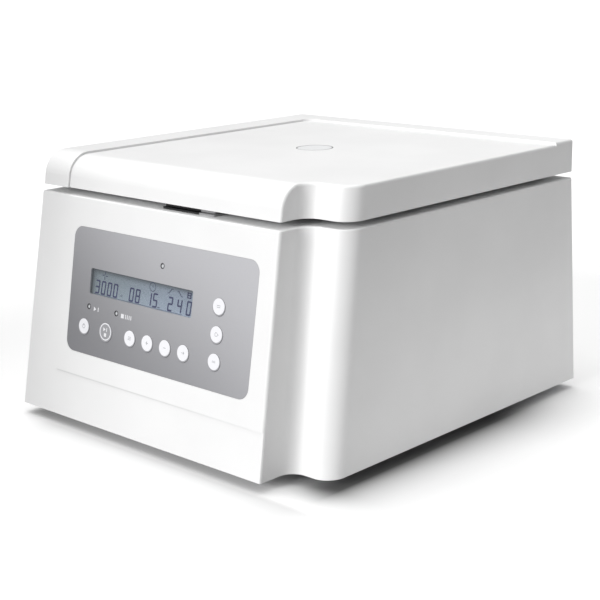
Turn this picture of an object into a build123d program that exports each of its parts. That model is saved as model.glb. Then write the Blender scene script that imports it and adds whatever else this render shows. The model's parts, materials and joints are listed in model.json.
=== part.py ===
from build123d import *
import os
from math import atan, cos, degrees, pi, radians, sin, tan

# Clinical centrifuge: a moulded bench housing with a hinged lid, a fixed-angle rotor for eight tubes,
# a brushless motor on rubber mounts and a key panel on the leaning front.
# Millimetres. Origin: centre of the footprint, on the bench. +X right, +Y to the back, +Z up.

os.makedirs("parts", exist_ok=True)

# Housing
BASE_WIDTH = 300.0
BASE_DEPTH = 336.0
BODY_HEIGHT = 168.0
FOOT_HEIGHT = 8.0
WALL = 3.0
SIDE_DRAFT = 3.7
FRONT_LEAN = 29.0
REAR_LEAN = 8.2
FLUTE_INSET = 35.0
FLUTE_DEPTH = 31.0
COLUMN_LEAN = 25.0
FLUTE_RADIUS = 12.5
COLUMN_RADIUS = 14.5
CORNER_RADIUS = 2.5
TOP_EDGE_RADIUS = 1.2
FIELD_STEP = 0.8
FIELD_LEFT = -112.0
FIELD_BOTTOM = 34.5
FIT = 0.3

# Lid
LID_GAP = 5.0
LID_HEIGHT = 25.5
LID_STEP = 1.7
LID_NOSE_RADIUS = 20.0
LID_EDGE_RADIUS = 2.0
LID_FLUTE_INSET = 37.5
LID_STRIP_WIDTH = 31.0
LID_REAR_STRIP = 25.0
LID_SEAM_RADIUS = 9.0
LID_WALL = 3.0
LINER_THICKNESS = 2.5
LID_DOME_RADIUS = 106.0
LID_DOME_RISE = 15.0
LID_OPEN_ANGLE = 75.0
WINDOW_RADIUS = 14.0
WINDOW_STEM_RADIUS = 11.0
WINDOW_FLANGE = 2.0

# Hinge
HINGE_PIN_RADIUS = 2.0
HINGE_BARREL_RADIUS = 4.7
HINGE_X = 95.0
HINGE_WIDTH = 44.0
HINGE_ARM_WIDTH = 19.0
HINGE_BACKSET = 2.5
HINGE_RISE = 3.0
HINGE_LEAF = 3.0
HINGE_LEAF_LENGTH = 34.0
PIN_CLEARANCE = 0.05

# Chamber and rotor
AXIS_X = 5.0
AXIS_Y = 11.0
BOWL_RADIUS = 114.0
BOWL_SHEET = 1.2
BOWL_FLOOR = 66.0
BOWL_HUB_FLOOR = 95.0
BOWL_HUB_RADIUS = 51.0
BOWL_HUB_SLOPE = 10.0
BOWL_CORNER = 14.0
BOWL_FLANGE = 7.0
BOWL_PORT_RADIUS = 22.0
TUBES = 8
TUBE_ANGLE = 38.0
MOUTH_RADIUS = 37.0
MOUTH_HEIGHT = 158.0
ROTOR_PLATE = 5.0
ROTOR_RIM_RADIUS = 58.0
ROTOR_HUB_BOTTOM = 101.0
ROTOR_HUB_TOP = 148.0
ROTOR_HUB_RADIUS = 15.0
BOSS_RADIUS = 12.0
BOSS_LENGTH = 34.0
ROTOR_RIB = 3.0
SLEEVE_RADIUS = 9.5
SLEEVE_WALL = 1.0
SLEEVE_LENGTH = 100.0
SLEEVE_FLANGE = 2.0
SLEEVE_CLEARANCE = 0.1
KNOB_RADIUS = 13.0
KNOB_HEIGHT = 14.0

# Motor
MOTOR_RADIUS = 42.0
MOTOR_TOP = 90.0
MOTOR_WALL = 3.0
MOTOR_FLANGE = 8.0
MOTOR_PLATE_SIZE = 124.0
MOTOR_PLATE = 3.0
DAMPER_HEIGHT = 14.0
DAMPER_RADIUS = 9.0
DAMPER_OFFSET = 48.0
STATOR_HEIGHT = 32.0
STATOR_TEETH = 12
AIR_GAP = 0.6
SHAFT_RADIUS = 6.0
UPPER_BEARING = (5.0, 15.0, 9.0)
LOWER_BEARING = (4.0, 11.0, 7.0)
RUNNING_CLEARANCE = 0.03

# Base
BASE_SHEET = 1.5
BASE_RIM = 8.0
SCREW_RADIUS = 2.0
BOSS_POST_RADIUS = 4.5

# Control panel, measured on the leaning front face from its bottom edge
PANEL_WIDTH = 197.7
PANEL_HEIGHT = 96.0
PANEL_X = -2.45
PANEL_UP = 100.8
PANEL_RADIUS = 9.0
PANEL_THICKNESS = 1.2
DISPLAY_WIDTH = 112.8
DISPLAY_HEIGHT = 19.4
DISPLAY_X = -22.1
DISPLAY_UP = 109.2
DISPLAY_RADIUS = 1.5
KEY_RADIUS = 6.3
START_KEY_RADIUS = 7.4
KEY_PROUD = 0.4
KEY_TRAVEL = 0.5
KEY_FLANGE = 1.1
KEY_GAP = 0.15
KEY_ROW_UP = 73.3
KEY_ROW = {"row_key_1": -81.7, "start_key": -56.0, "row_key_2": -28.4, "row_key_3": -9.0,
           "row_key_4": 10.2, "row_key_5": 29.5}
SIDE_KEY_X = 61.2
SIDE_KEYS = {"side_key_1": 111.8, "side_key_2": 92.3, "side_key_3": 73.1}
LED_PLACES = [(-78.0, 89.3), (-46.0, 89.2), (0.0, 131.4)]
LED_RADIUS = 1.5
BOARD_DEPTH = 7.0
BOARD_THICKNESS = 1.6
SWITCH_BODY = 6.0

# Latch
LATCH_X = 14.0
LATCH_BACKSET = 15.0
CATCH_WIDTH = 52.0
HOOK_WIDTH = 10.0
HOOK_DEPTH = 8.0
HOOK_DROP = 22.0
BOLT_RADIUS = 3.0
BOLT_DROP = 13.0
BOLT_TRAVEL = 8.0

# Mains inlet and switch on the back
INLET_X = -95.0
SWITCH_X = -50.0
REAR_UP = 58.0
ROCKER_TILT = 8.0

# Worked-out levels
BODY_TOP = FOOT_HEIGHT + BODY_HEIGHT
LID_BOTTOM = BODY_TOP + LID_GAP
LID_TOP = LID_BOTTOM + LID_HEIGHT
DECK_BOTTOM = BODY_TOP - WALL
BASE_TOP = FOOT_HEIGHT + BASE_SHEET
FRONT_BASE = -BASE_DEPTH / 2
SLOPE = degrees(atan(FRONT_LEAN / BODY_HEIGHT))
ALONG = cos(radians(SLOPE))


def half_width_at(height):
    return BASE_WIDTH / 2 - SIDE_DRAFT * height / BODY_HEIGHT


def front_at(height):
    return FRONT_BASE + FRONT_LEAN * height / BODY_HEIGHT


def rear_at(height):
    return BASE_DEPTH / 2 - REAR_LEAN * height / BODY_HEIGHT


def column_at(height):
    return FRONT_BASE + FLUTE_DEPTH + COLUMN_LEAN * height / BODY_HEIGHT


HALF_WIDTH_TOP = half_width_at(BODY_HEIGHT)
REAR_TOP = rear_at(BODY_HEIGHT)
FRONT_TOP = front_at(BODY_HEIGHT)
FIELD_OUT = FIELD_STEP / ALONG
PIVOT_Y = REAR_TOP - HINGE_BACKSET
PIVOT_Z = BODY_TOP + HINGE_RISE
LATCH_Y = FRONT_TOP + LATCH_BACKSET

# Leaning faces: X runs to the right as someone in front of the face sees it, Y runs up the face.
FRONT = Plane(origin=(0, FRONT_BASE - FIELD_OUT, FOOT_HEIGHT), x_dir=(1, 0, 0), z_dir=(0, -BODY_HEIGHT, FRONT_LEAN))
REAR = Plane(origin=(0, BASE_DEPTH / 2, FOOT_HEIGHT), x_dir=(-1, 0, 0), z_dir=(0, BODY_HEIGHT, REAR_LEAN))


def outline(z, half_width, front, rear, flute_wall, column, inset):
    """Plan of the housing or lid: plain on the left, a flute and a round column at the right front corner."""
    left, right = inset - half_width, half_width - inset
    corners = [
        ((left, front + inset), CORNER_RADIUS),
        ((flute_wall - inset, front + inset), CORNER_RADIUS),
        ((flute_wall - inset, column + inset), FLUTE_RADIUS + inset),
        ((right, column + inset), COLUMN_RADIUS - inset),
        ((right, rear - inset), CORNER_RADIUS),
        ((left, rear - inset), CORNER_RADIUS),
    ]
    with BuildSketch(Plane.XY.offset(z)) as plan:
        with BuildLine():
            Polyline(*[point for point, radius in corners], close=True)
        make_face()
        for (x, y), radius in corners:
            fillet(plan.vertices().sort_by_distance((x, y, 0))[0], radius)
    return plan.sketch


def body_outline(height, inset=0.0):
    half_width = half_width_at(height)
    return outline(FOOT_HEIGHT + height, half_width, front_at(height) - FIELD_OUT, rear_at(height),
                   half_width - FLUTE_INSET, column_at(height), inset)


def lid_outline(z, inset=0.0):
    lean = COLUMN_LEAN / BODY_HEIGHT * (z - BODY_TOP)
    return outline(z, HALF_WIDTH_TOP, FRONT_BASE, REAR_TOP, HALF_WIDTH_TOP - LID_FLUTE_INSET,
                   column_at(BODY_HEIGHT) + lean, inset)


def key_places():
    places = {name: (x, KEY_ROW_UP) for name, x in KEY_ROW.items()}
    places.update({name: (SIDE_KEY_X, up) for name, up in SIDE_KEYS.items()})
    return places


def key_radius(name):
    return START_KEY_RADIUS if name == "start_key" else KEY_RADIUS


# Housing: a hollow moulding with a leaning front, a flute and a round column at one corner
BASE_BOSSES = [(-134.0, -146.0), (100.0, -150.0), (-134.0, 0.0), (134.0, 0.0), (-134.0, 146.0), (134.0, 146.0)]
BOSS_POST_TOP = 38.0
DECK_HOLE_RADIUS = BOWL_RADIUS + BOWL_SHEET + 2.0
FLANGE_HOLE_RADIUS = KEY_RADIUS + KEY_FLANGE + FIT
BOARD_BOSSES = [(PANEL_X + side * 91.0, PANEL_UP + up * 41.0) for side in (-1, 1) for up in (-1, 1)]
BOARD_BOSS_RADIUS = 3.5
HOOK_SLOT = (HOOK_WIDTH + 2.4, HOOK_DEPTH + 6.0)
HINGE_NOTCH = HINGE_WIDTH + 1.0
INLET_BODY = (27.0, 19.6)
SWITCH_BODY_SIZE = (21.4, 15.4)

with BuildPart() as main_housing:
    loft(sections=[body_outline(0), body_outline(BODY_HEIGHT)])
    fillet(main_housing.faces().sort_by(Axis.Z)[-1].edges(), TOP_EDGE_RADIUS)
    loft(sections=[body_outline(-1, WALL), body_outline(BODY_HEIGHT - WALL, WALL)], mode=Mode.SUBTRACT)
    # The front field stands proud of a border on its left and below it
    with BuildSketch(FRONT) as field_border:
        with Locations((FIELD_LEFT - 50, BODY_HEIGHT / 2)):
            Rectangle(100, BODY_HEIGHT * 1.2)
        with Locations((0, FIELD_BOTTOM / ALONG - 50)):
            Rectangle(BASE_WIDTH * 1.2, 100)
    extrude(amount=-FIELD_STEP, mode=Mode.SUBTRACT)
    # Seat of the control panel, and the ways through the wall behind it
    with BuildSketch(FRONT):
        with Locations((PANEL_X, PANEL_UP)):
            RectangleRounded(PANEL_WIDTH, PANEL_HEIGHT, PANEL_RADIUS)
    extrude(amount=-PANEL_THICKNESS, mode=Mode.SUBTRACT)
    with BuildSketch(FRONT):
        with Locations((DISPLAY_X, DISPLAY_UP)):
            Rectangle(DISPLAY_WIDTH + 3, DISPLAY_HEIGHT + 3)
        for name, place in key_places().items():
            with Locations(place):
                Circle(key_radius(name) + KEY_FLANGE + FIT)
        with Locations(*LED_PLACES):
            Circle(LED_RADIUS + 0.2)
    extrude(amount=-(WALL + 1), mode=Mode.SUBTRACT)
    # Short posts that carry the control board
    with BuildSketch(FRONT.offset(-BOARD_DEPTH)):
        with Locations(*BOARD_BOSSES):
            Circle(BOARD_BOSS_RADIUS)
            Circle(1.2, mode=Mode.SUBTRACT)
    extrude(amount=BOARD_DEPTH - WALL + 0.6)
    # Round opening of the chamber, slot of the lid hook and notches of the hinges, in the top deck
    with BuildSketch(Plane.XY.offset(DECK_BOTTOM - 1)):
        with Locations((AXIS_X, AXIS_Y)):
            Circle(DECK_HOLE_RADIUS)
        with Locations((LATCH_X, LATCH_Y)):
            Rectangle(*HOOK_SLOT)
        for side in (-1, 1):
            with Locations((side * HINGE_X, PIVOT_Y - HINGE_BARREL_RADIUS - 1.1)):
                Rectangle(HINGE_NOTCH, 40, align=(Align.CENTER, Align.MIN))
    extrude(amount=WALL + 2, mode=Mode.SUBTRACT)
    # Ways through the back wall
    with BuildSketch(REAR.offset(5)):
        with Locations((-INLET_X, REAR_UP)):
            Rectangle(INLET_BODY[0] + FIT, INLET_BODY[1] + FIT)
        with Locations((-SWITCH_X, REAR_UP)):
            Rectangle(SWITCH_BODY_SIZE[0] + FIT, SWITCH_BODY_SIZE[1] + FIT)
        with Locations((-62.0, 66.0)):
            with GridLocations(8.0, 48.0, 11, 2):
                SlotOverall(38.0, 3.2, rotation=90)
    extrude(amount=-(5 + WALL + 1), mode=Mode.SUBTRACT)
    # Screw posts that stand on the base plate, each tied to the nearest wall by a web
    with BuildSketch(Plane.XY.offset(BASE_TOP)):
        with Locations(*BASE_BOSSES):
            Circle(BOSS_POST_RADIUS)
            Circle(SCREW_RADIUS + PIN_CLEARANCE, mode=Mode.SUBTRACT)
    extrude(amount=BOSS_POST_TOP - BASE_TOP)
    for x, y in BASE_BOSSES:
        at_front = abs(x) < BASE_WIDTH / 3
        reach = y - front_at(0) - 7 if at_front else BASE_WIDTH / 2 - abs(x) - 2
        with BuildSketch(Plane.XY.offset(FOOT_HEIGHT + BASE_RIM + 2)):
            if at_front:
                with Locations((x, y - BOSS_POST_RADIUS + 1)):
                    Rectangle(3, reach - BOSS_POST_RADIUS, align=(Align.CENTER, Align.MAX))
            else:
                side = 1 if x > 0 else -1
                with Locations((x + side * BOSS_POST_RADIUS - side, y)):
                    Rectangle(reach - BOSS_POST_RADIUS + 1, 3,
                              align=(Align.MIN if side > 0 else Align.MAX, Align.CENTER))
        extrude(amount=BOSS_POST_TOP - FOOT_HEIGHT - BASE_RIM - 2)
main_housing.part.label = "main_housing"
export_step(main_housing.part, "parts/main_housing.step")

# Base plate: a pressed steel pan that closes the housing from below
FEET = [(-116.0, -136.0), (84.0, -130.0), (-116.0, 136.0), (116.0, 136.0)]
BOARD_CENTRE = (-95.0, 20.0)
BOARD_SIZE = (60.0, 130.0)
BOARD_STANDOFF = 7.0
STANDOFFS = [(BOARD_CENTRE[0] + x, BOARD_CENTRE[1] + y) for x in (-25.0, 25.0) for y in (-59.0, 59.0)]

with BuildPart() as base_plate:
    loft(sections=[body_outline(0, WALL + FIT), body_outline(BASE_RIM, WALL + FIT)])
    loft(sections=[body_outline(BASE_SHEET, WALL + FIT + BASE_SHEET),
                   body_outline(BASE_RIM + 1, WALL + FIT + BASE_SHEET)], mode=Mode.SUBTRACT)
    with BuildSketch(Plane.XY.offset(FOOT_HEIGHT - 1)):
        with Locations(*BASE_BOSSES, *FEET):
            Circle(SCREW_RADIUS + FIT)
        with Locations((98.0, 20.0)):
            with GridLocations(10.0, 60.0, 6, 2):
                SlotOverall(46.0, 3.6, rotation=90)
    extrude(amount=BASE_SHEET + 2, mode=Mode.SUBTRACT)
    with BuildSketch(Plane.XY.offset(BASE_TOP)):
        with Locations(*STANDOFFS):
            Circle(4)
    extrude(amount=BOARD_STANDOFF)
base_plate.part.label = "base_plate"
export_step(base_plate.part, "parts/base_plate.step")

# Feet: four soft cones with a recess for their screw
with BuildPart() as rubber_feet:
    with BuildSketch():
        with Locations(*FEET):
            Circle(14.0)
    extrude(amount=FOOT_HEIGHT, taper=-8)
    with BuildSketch():
        with Locations(*FEET):
            Circle(5.5)
    extrude(amount=FOOT_HEIGHT - 3, mode=Mode.SUBTRACT)
    with BuildSketch():
        with Locations(*FEET):
            Circle(SCREW_RADIUS + 0.1)
    extrude(amount=FOOT_HEIGHT, mode=Mode.SUBTRACT)
rubber_feet.part.label = "rubber_feet"
export_step(rubber_feet.part, "parts/rubber_feet.step")


def pan_screws(plane, places, shank, head_radius=3.8, head=1.8, radius=SCREW_RADIUS):
    """Pan-head screws whose heads sit on the plane and whose shanks run against its normal."""
    with BuildPart() as screws:
        with BuildSketch(plane):
            with Locations(*places):
                Circle(head_radius)
        extrude(amount=head)
        with BuildSketch(plane.offset(head)):
            with Locations(*places):
                RegularPolygon(1.6, 6)
        extrude(amount=-head / 2, mode=Mode.SUBTRACT)
        with BuildSketch(plane):
            with Locations(*places):
                Circle(radius)
        extrude(amount=-shank)
    return screws.part


UNDER = Plane(origin=(0, 0, FOOT_HEIGHT), x_dir=(1, 0, 0), z_dir=(0, 0, -1))
UNDER_FEET = UNDER.offset(-3.0)

with BuildPart() as case_screws:
    add(pan_screws(UNDER, [(x, -y) for x, y in BASE_BOSSES], 14.0))
    add(pan_screws(Plane(origin=(0, 0, FOOT_HEIGHT - 3), x_dir=(1, 0, 0), z_dir=(0, 0, -1)),
                   [(x, -y) for x, y in FEET], 8.0))
case_screws.part.label = "case_screws"
export_step(case_screws.part, "parts/case_screws.step")

# Chamber: a deep-drawn bowl with a raised middle over the motor, hung by its flange from the deck
AXIS = Axis((AXIS_X, AXIS_Y, 0), (0, 0, 1))
SECTION = Plane(origin=(AXIS_X, AXIS_Y, 0), x_dir=(1, 0, 0), z_dir=(0, -1, 0))
HALF_SHEET = BOWL_SHEET / 2

with BuildPart() as chamber_bowl:
    with BuildSketch(SECTION):
        with BuildLine():
            FilletPolyline(
                (BOWL_PORT_RADIUS, BOWL_HUB_FLOOR - HALF_SHEET),
                (BOWL_HUB_RADIUS, BOWL_HUB_FLOOR - HALF_SHEET),
                (BOWL_HUB_RADIUS + BOWL_HUB_SLOPE, BOWL_FLOOR - HALF_SHEET),
                (BOWL_RADIUS + HALF_SHEET, BOWL_FLOOR - HALF_SHEET),
                (BOWL_RADIUS + HALF_SHEET, BODY_TOP + HALF_SHEET),
                (BOWL_RADIUS + BOWL_FLANGE, BODY_TOP + HALF_SHEET),
                radius=[5.0, 5.0, BOWL_CORNER, 1.5])
        trace(line_width=BOWL_SHEET)
    revolve(axis=AXIS)
chamber_bowl.part.label = "chamber_bowl"
export_step(chamber_bowl.part, "parts/chamber_bowl.step")

# Gasket: a rubber ring over the bowl's flange that the closed lid meets
GASKET_TOP = LID_BOTTOM - FIT
FLANGE_OUT = BOWL_RADIUS + BOWL_FLANGE

with BuildPart() as chamber_gasket:
    with BuildSketch(SECTION):
        with BuildLine():
            Polyline(
                (BOWL_RADIUS + 2, BODY_TOP + BOWL_SHEET), (FLANGE_OUT + FIT, BODY_TOP + BOWL_SHEET),
                (FLANGE_OUT + FIT, BODY_TOP), (FLANGE_OUT + 3.5, BODY_TOP), (FLANGE_OUT + 3.5, BODY_TOP + 2.4),
                (FLANGE_OUT + 1, GASKET_TOP), (FLANGE_OUT - 3, GASKET_TOP), (BOWL_RADIUS + 2, BODY_TOP + 3),
                close=True)
        make_face()
    revolve(axis=AXIS)
chamber_gasket.part.label = "chamber_gasket"
export_step(chamber_gasket.part, "parts/chamber_gasket.step")

# Motor on its plate and rubber mounts
PLATE_BOTTOM = BASE_TOP + DAMPER_HEIGHT
PLATE_TOP = PLATE_BOTTOM + MOTOR_PLATE
MOTOR_BOSS_TOP = MOTOR_TOP + 3.0
LOWER_SEAT_TOP = PLATE_TOP - 1.0
LOWER_SEAT_BOTTOM = LOWER_SEAT_TOP - LOWER_BEARING[2]
UPPER_SEAT_TOP = MOTOR_TOP - 1.0
UPPER_SEAT_BOTTOM = UPPER_SEAT_TOP - UPPER_BEARING[2]
DAMPERS = [(AXIS_X + x * DAMPER_OFFSET, AXIS_Y + y * DAMPER_OFFSET) for x in (-1, 1) for y in (-1, 1)]
MOTOR_SCREW_RING = MOTOR_RADIUS + 4.2
STUD_RADIUS = 3.0
CENTRE = (AXIS_X, AXIS_Y)

with BuildPart() as motor_plate:
    with BuildSketch(Plane.XY.offset(PLATE_BOTTOM)):
        with Locations(CENTRE):
            RectangleRounded(MOTOR_PLATE_SIZE, MOTOR_PLATE_SIZE, 12)
    extrude(amount=MOTOR_PLATE)
    with BuildSketch(Plane.XY.offset(LOWER_SEAT_BOTTOM)):
        with Locations(CENTRE):
            Circle(LOWER_BEARING[1] + 5)
    extrude(amount=PLATE_BOTTOM - LOWER_SEAT_BOTTOM)
    with BuildSketch(Plane.XY.offset(LOWER_SEAT_BOTTOM)):
        with Locations(CENTRE):
            Circle(LOWER_BEARING[1] + PIN_CLEARANCE)
    extrude(amount=LOWER_BEARING[2], mode=Mode.SUBTRACT)
    with BuildSketch(Plane.XY.offset(PLATE_BOTTOM - 1)):
        with Locations(CENTRE):
            Circle(LOWER_BEARING[1] - 2)
            with PolarLocations(MOTOR_SCREW_RING, 4):
                Circle(SCREW_RADIUS + PIN_CLEARANCE)
        with Locations(*DAMPERS):
            Circle(STUD_RADIUS + FIT)
    extrude(amount=MOTOR_PLATE + 2, mode=Mode.SUBTRACT)
motor_plate.part.label = "motor_plate"
export_step(motor_plate.part, "parts/motor_plate.step")

with BuildPart() as damper_mounts:
    for place in DAMPERS:
        with BuildSketch(Plane(origin=(*place, BASE_TOP), x_dir=(1, 0, 0), z_dir=(0, -1, 0))):
            with BuildLine():
                Polyline((0, 0), (DAMPER_RADIUS, 0), (DAMPER_RADIUS, 3), (DAMPER_RADIUS - 2.5, 7),
                         (DAMPER_RADIUS, 11), (DAMPER_RADIUS, DAMPER_HEIGHT), (STUD_RADIUS, DAMPER_HEIGHT),
                         (STUD_RADIUS, DAMPER_HEIGHT + 9), (0, DAMPER_HEIGHT + 9), close=True)
            make_face()
        revolve(axis=Axis((*place, 0), (0, 0, 1)))
damper_mounts.part.label = "damper_mounts"
export_step(damper_mounts.part, "parts/damper_mounts.step")

with BuildPart() as motor_housing:
    with BuildSketch(SECTION):
        with BuildLine():
            Polyline(
                (MOTOR_RADIUS - MOTOR_WALL, PLATE_TOP), (MOTOR_RADIUS + MOTOR_FLANGE, PLATE_TOP),
                (MOTOR_RADIUS + MOTOR_FLANGE, PLATE_TOP + 4), (MOTOR_RADIUS, PLATE_TOP + 4),
                (MOTOR_RADIUS, MOTOR_TOP), (18, MOTOR_TOP), (18, MOTOR_BOSS_TOP), (8, MOTOR_BOSS_TOP),
                (8, UPPER_SEAT_TOP), (UPPER_BEARING[1] + PIN_CLEARANCE, UPPER_SEAT_TOP),
                (UPPER_BEARING[1] + PIN_CLEARANCE, UPPER_SEAT_BOTTOM), (UPPER_BEARING[1] + 5, UPPER_SEAT_BOTTOM),
                (UPPER_BEARING[1] + 5, MOTOR_TOP - 4), (MOTOR_RADIUS - MOTOR_WALL, MOTOR_TOP - 4), close=True)
        make_face()
    revolve(axis=AXIS)
    with BuildSketch(Plane.XY.offset(PLATE_TOP - 1)):
        with Locations(CENTRE):
            with PolarLocations(MOTOR_SCREW_RING, 4):
                Circle(SCREW_RADIUS + FIT)
    extrude(amount=6, mode=Mode.SUBTRACT)
motor_housing.part.label = "motor_housing"
export_step(motor_housing.part, "parts/motor_housing.step")

BEARINGS = [(UPPER_BEARING, UPPER_SEAT_BOTTOM), (LOWER_BEARING, LOWER_SEAT_BOTTOM)]

with BuildPart() as motor_bearings:
    for (bore, outer, width), bottom in BEARINGS:
        ring = (outer - bore) / 3
        with BuildSketch(SECTION):
            with BuildLine():
                Polyline(
                    (bore, bottom), (bore + ring, bottom), (bore + ring, bottom + 0.6),
                    (outer - ring, bottom + 0.6), (outer - ring, bottom), (outer, bottom),
                    (outer, bottom + width), (outer - ring, bottom + width), (outer - ring, bottom + width - 0.6),
                    (bore + ring, bottom + width - 0.6), (bore + ring, bottom + width), (bore, bottom + width),
                    close=True)
            make_face()
        revolve(axis=AXIS)
motor_bearings.part.label = "motor_bearings"
export_step(motor_bearings.part, "parts/motor_bearings.step")

STATOR_BOTTOM = PLATE_TOP + 12.0
STATOR_BORE = 24.0
STATOR_OUT = MOTOR_RADIUS - MOTOR_WALL - PIN_CLEARANCE

with BuildPart() as motor_stator:
    with BuildSketch(Plane.XY.offset(STATOR_BOTTOM)):
        with Locations(CENTRE):
            Circle(STATOR_OUT)
            Circle(STATOR_BORE, mode=Mode.SUBTRACT)
            with PolarLocations(STATOR_BORE + 6, STATOR_TEETH):
                Rectangle(9, 6.5, mode=Mode.SUBTRACT)
            with PolarLocations(STATOR_BORE + 1, STATOR_TEETH):
                Rectangle(3, 2.5, mode=Mode.SUBTRACT)
    extrude(amount=STATOR_HEIGHT)
motor_stator.part.label = "motor_stator"
export_step(motor_stator.part, "parts/motor_stator.step")

with BuildPart() as motor_screws:
    add(pan_screws(Plane.XY.offset(PLATE_TOP + 4),
                   [(AXIS_X + MOTOR_SCREW_RING * cos(pi / 2 * n), AXIS_Y + MOTOR_SCREW_RING * sin(pi / 2 * n))
                    for n in range(4)], 6.5, head_radius=3.4))
    with BuildSketch(Plane.XY.offset(PLATE_TOP)):
        with Locations(*DAMPERS):
            RegularPolygon(5.5, 6)
            Circle(STUD_RADIUS + PIN_CLEARANCE, mode=Mode.SUBTRACT)
    extrude(amount=4.5)
motor_screws.part.label = "motor_screws"
export_step(motor_screws.part, "parts/motor_screws.step")

with BuildPart() as shaft_boot:
    with BuildSketch(SECTION):
        with BuildLine():
            Polyline(
                (10, MOTOR_BOSS_TOP), (17.5, MOTOR_BOSS_TOP), (BOWL_PORT_RADIUS - FIT, BOWL_HUB_FLOOR - 1.4),
                (BOWL_PORT_RADIUS - FIT, BOWL_HUB_FLOOR + FIT), (BOWL_PORT_RADIUS + 5, BOWL_HUB_FLOOR + FIT),
                (BOWL_PORT_RADIUS + 5, BOWL_HUB_FLOOR + 1.8), (15, BOWL_HUB_FLOOR + 3), (10, BOWL_HUB_FLOOR + 1),
                close=True)
        make_face()
    revolve(axis=AXIS)
shaft_boot.part.label = "shaft_boot"
export_step(shaft_boot.part, "parts/shaft_boot.step")

# Turning group: shaft, magnet rotor, angle rotor, sleeves and knob
COLLAR_RADIUS = 7.5
THREAD_RADIUS = 4.0
UPPER_JOURNAL = UPPER_BEARING[0] - RUNNING_CLEARANCE
LOWER_JOURNAL = LOWER_BEARING[0] - RUNNING_CLEARANCE

with BuildPart() as drive_shaft:
    with BuildSketch(SECTION):
        with BuildLine():
            Polyline(
                (0, LOWER_SEAT_BOTTOM - 1), (LOWER_JOURNAL, LOWER_SEAT_BOTTOM - 1),
                (LOWER_JOURNAL, LOWER_SEAT_TOP + 0.5), (SHAFT_RADIUS, LOWER_SEAT_TOP + 0.5),
                (SHAFT_RADIUS, UPPER_SEAT_BOTTOM - 0.5), (UPPER_JOURNAL, UPPER_SEAT_BOTTOM - 0.5),
                (UPPER_JOURNAL, MOTOR_BOSS_TOP + 1), (COLLAR_RADIUS, MOTOR_BOSS_TOP + 4),
                (COLLAR_RADIUS, ROTOR_HUB_BOTTOM), (UPPER_JOURNAL, ROTOR_HUB_BOTTOM),
                (UPPER_JOURNAL, ROTOR_HUB_TOP - 1), (THREAD_RADIUS, ROTOR_HUB_TOP),
                (THREAD_RADIUS, ROTOR_HUB_TOP + 9), (0, ROTOR_HUB_TOP + 9), close=True)
        make_face()
    revolve(axis=AXIS)
drive_shaft.part.label = "drive_shaft"
export_step(drive_shaft.part, "parts/drive_shaft.step")

with BuildPart() as magnet_rotor:
    with BuildSketch(Plane.XY.offset(STATOR_BOTTOM + 1)):
        with Locations(CENTRE):
            Circle(STATOR_BORE - AIR_GAP)
            Circle(SHAFT_RADIUS + RUNNING_CLEARANCE, mode=Mode.SUBTRACT)
            with PolarLocations(STATOR_BORE - AIR_GAP, 8):
                Rectangle(3, 1.6, mode=Mode.SUBTRACT)
            with PolarLocations(14, 8):
                Circle(2.6, mode=Mode.SUBTRACT)
    extrude(amount=STATOR_HEIGHT - 2)
magnet_rotor.part.label = "magnet_rotor"
export_step(magnet_rotor.part, "parts/magnet_rotor.step")

SIN_TUBE, COS_TUBE = sin(radians(TUBE_ANGLE)), cos(radians(TUBE_ANGLE))


def mouth(number):
    """Centre of a tube mouth, the way out of it and the way up its rim, for one tube place."""
    turn = 2 * pi * (number + 0.5) / TUBES
    centre = Vector(AXIS_X + MOUTH_RADIUS * cos(turn), AXIS_Y + MOUTH_RADIUS * sin(turn), MOUTH_HEIGHT)
    way_out = Vector(-SIN_TUBE * cos(turn), -SIN_TUBE * sin(turn), COS_TUBE)
    up_rim = Vector(COS_TUBE * cos(turn), COS_TUBE * sin(turn), SIN_TUBE)
    return centre, way_out, up_rim


def dish_top(radius):
    """Height of the rotor's dished top at a radius; the dish lies square to the tubes."""
    return MOUTH_HEIGHT + (radius - MOUTH_RADIUS) * tan(radians(TUBE_ANGLE))


PLATE_RISE = ROTOR_PLATE / COS_TUBE
HUB_WAIST = ROTOR_HUB_RADIUS + 2

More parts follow.
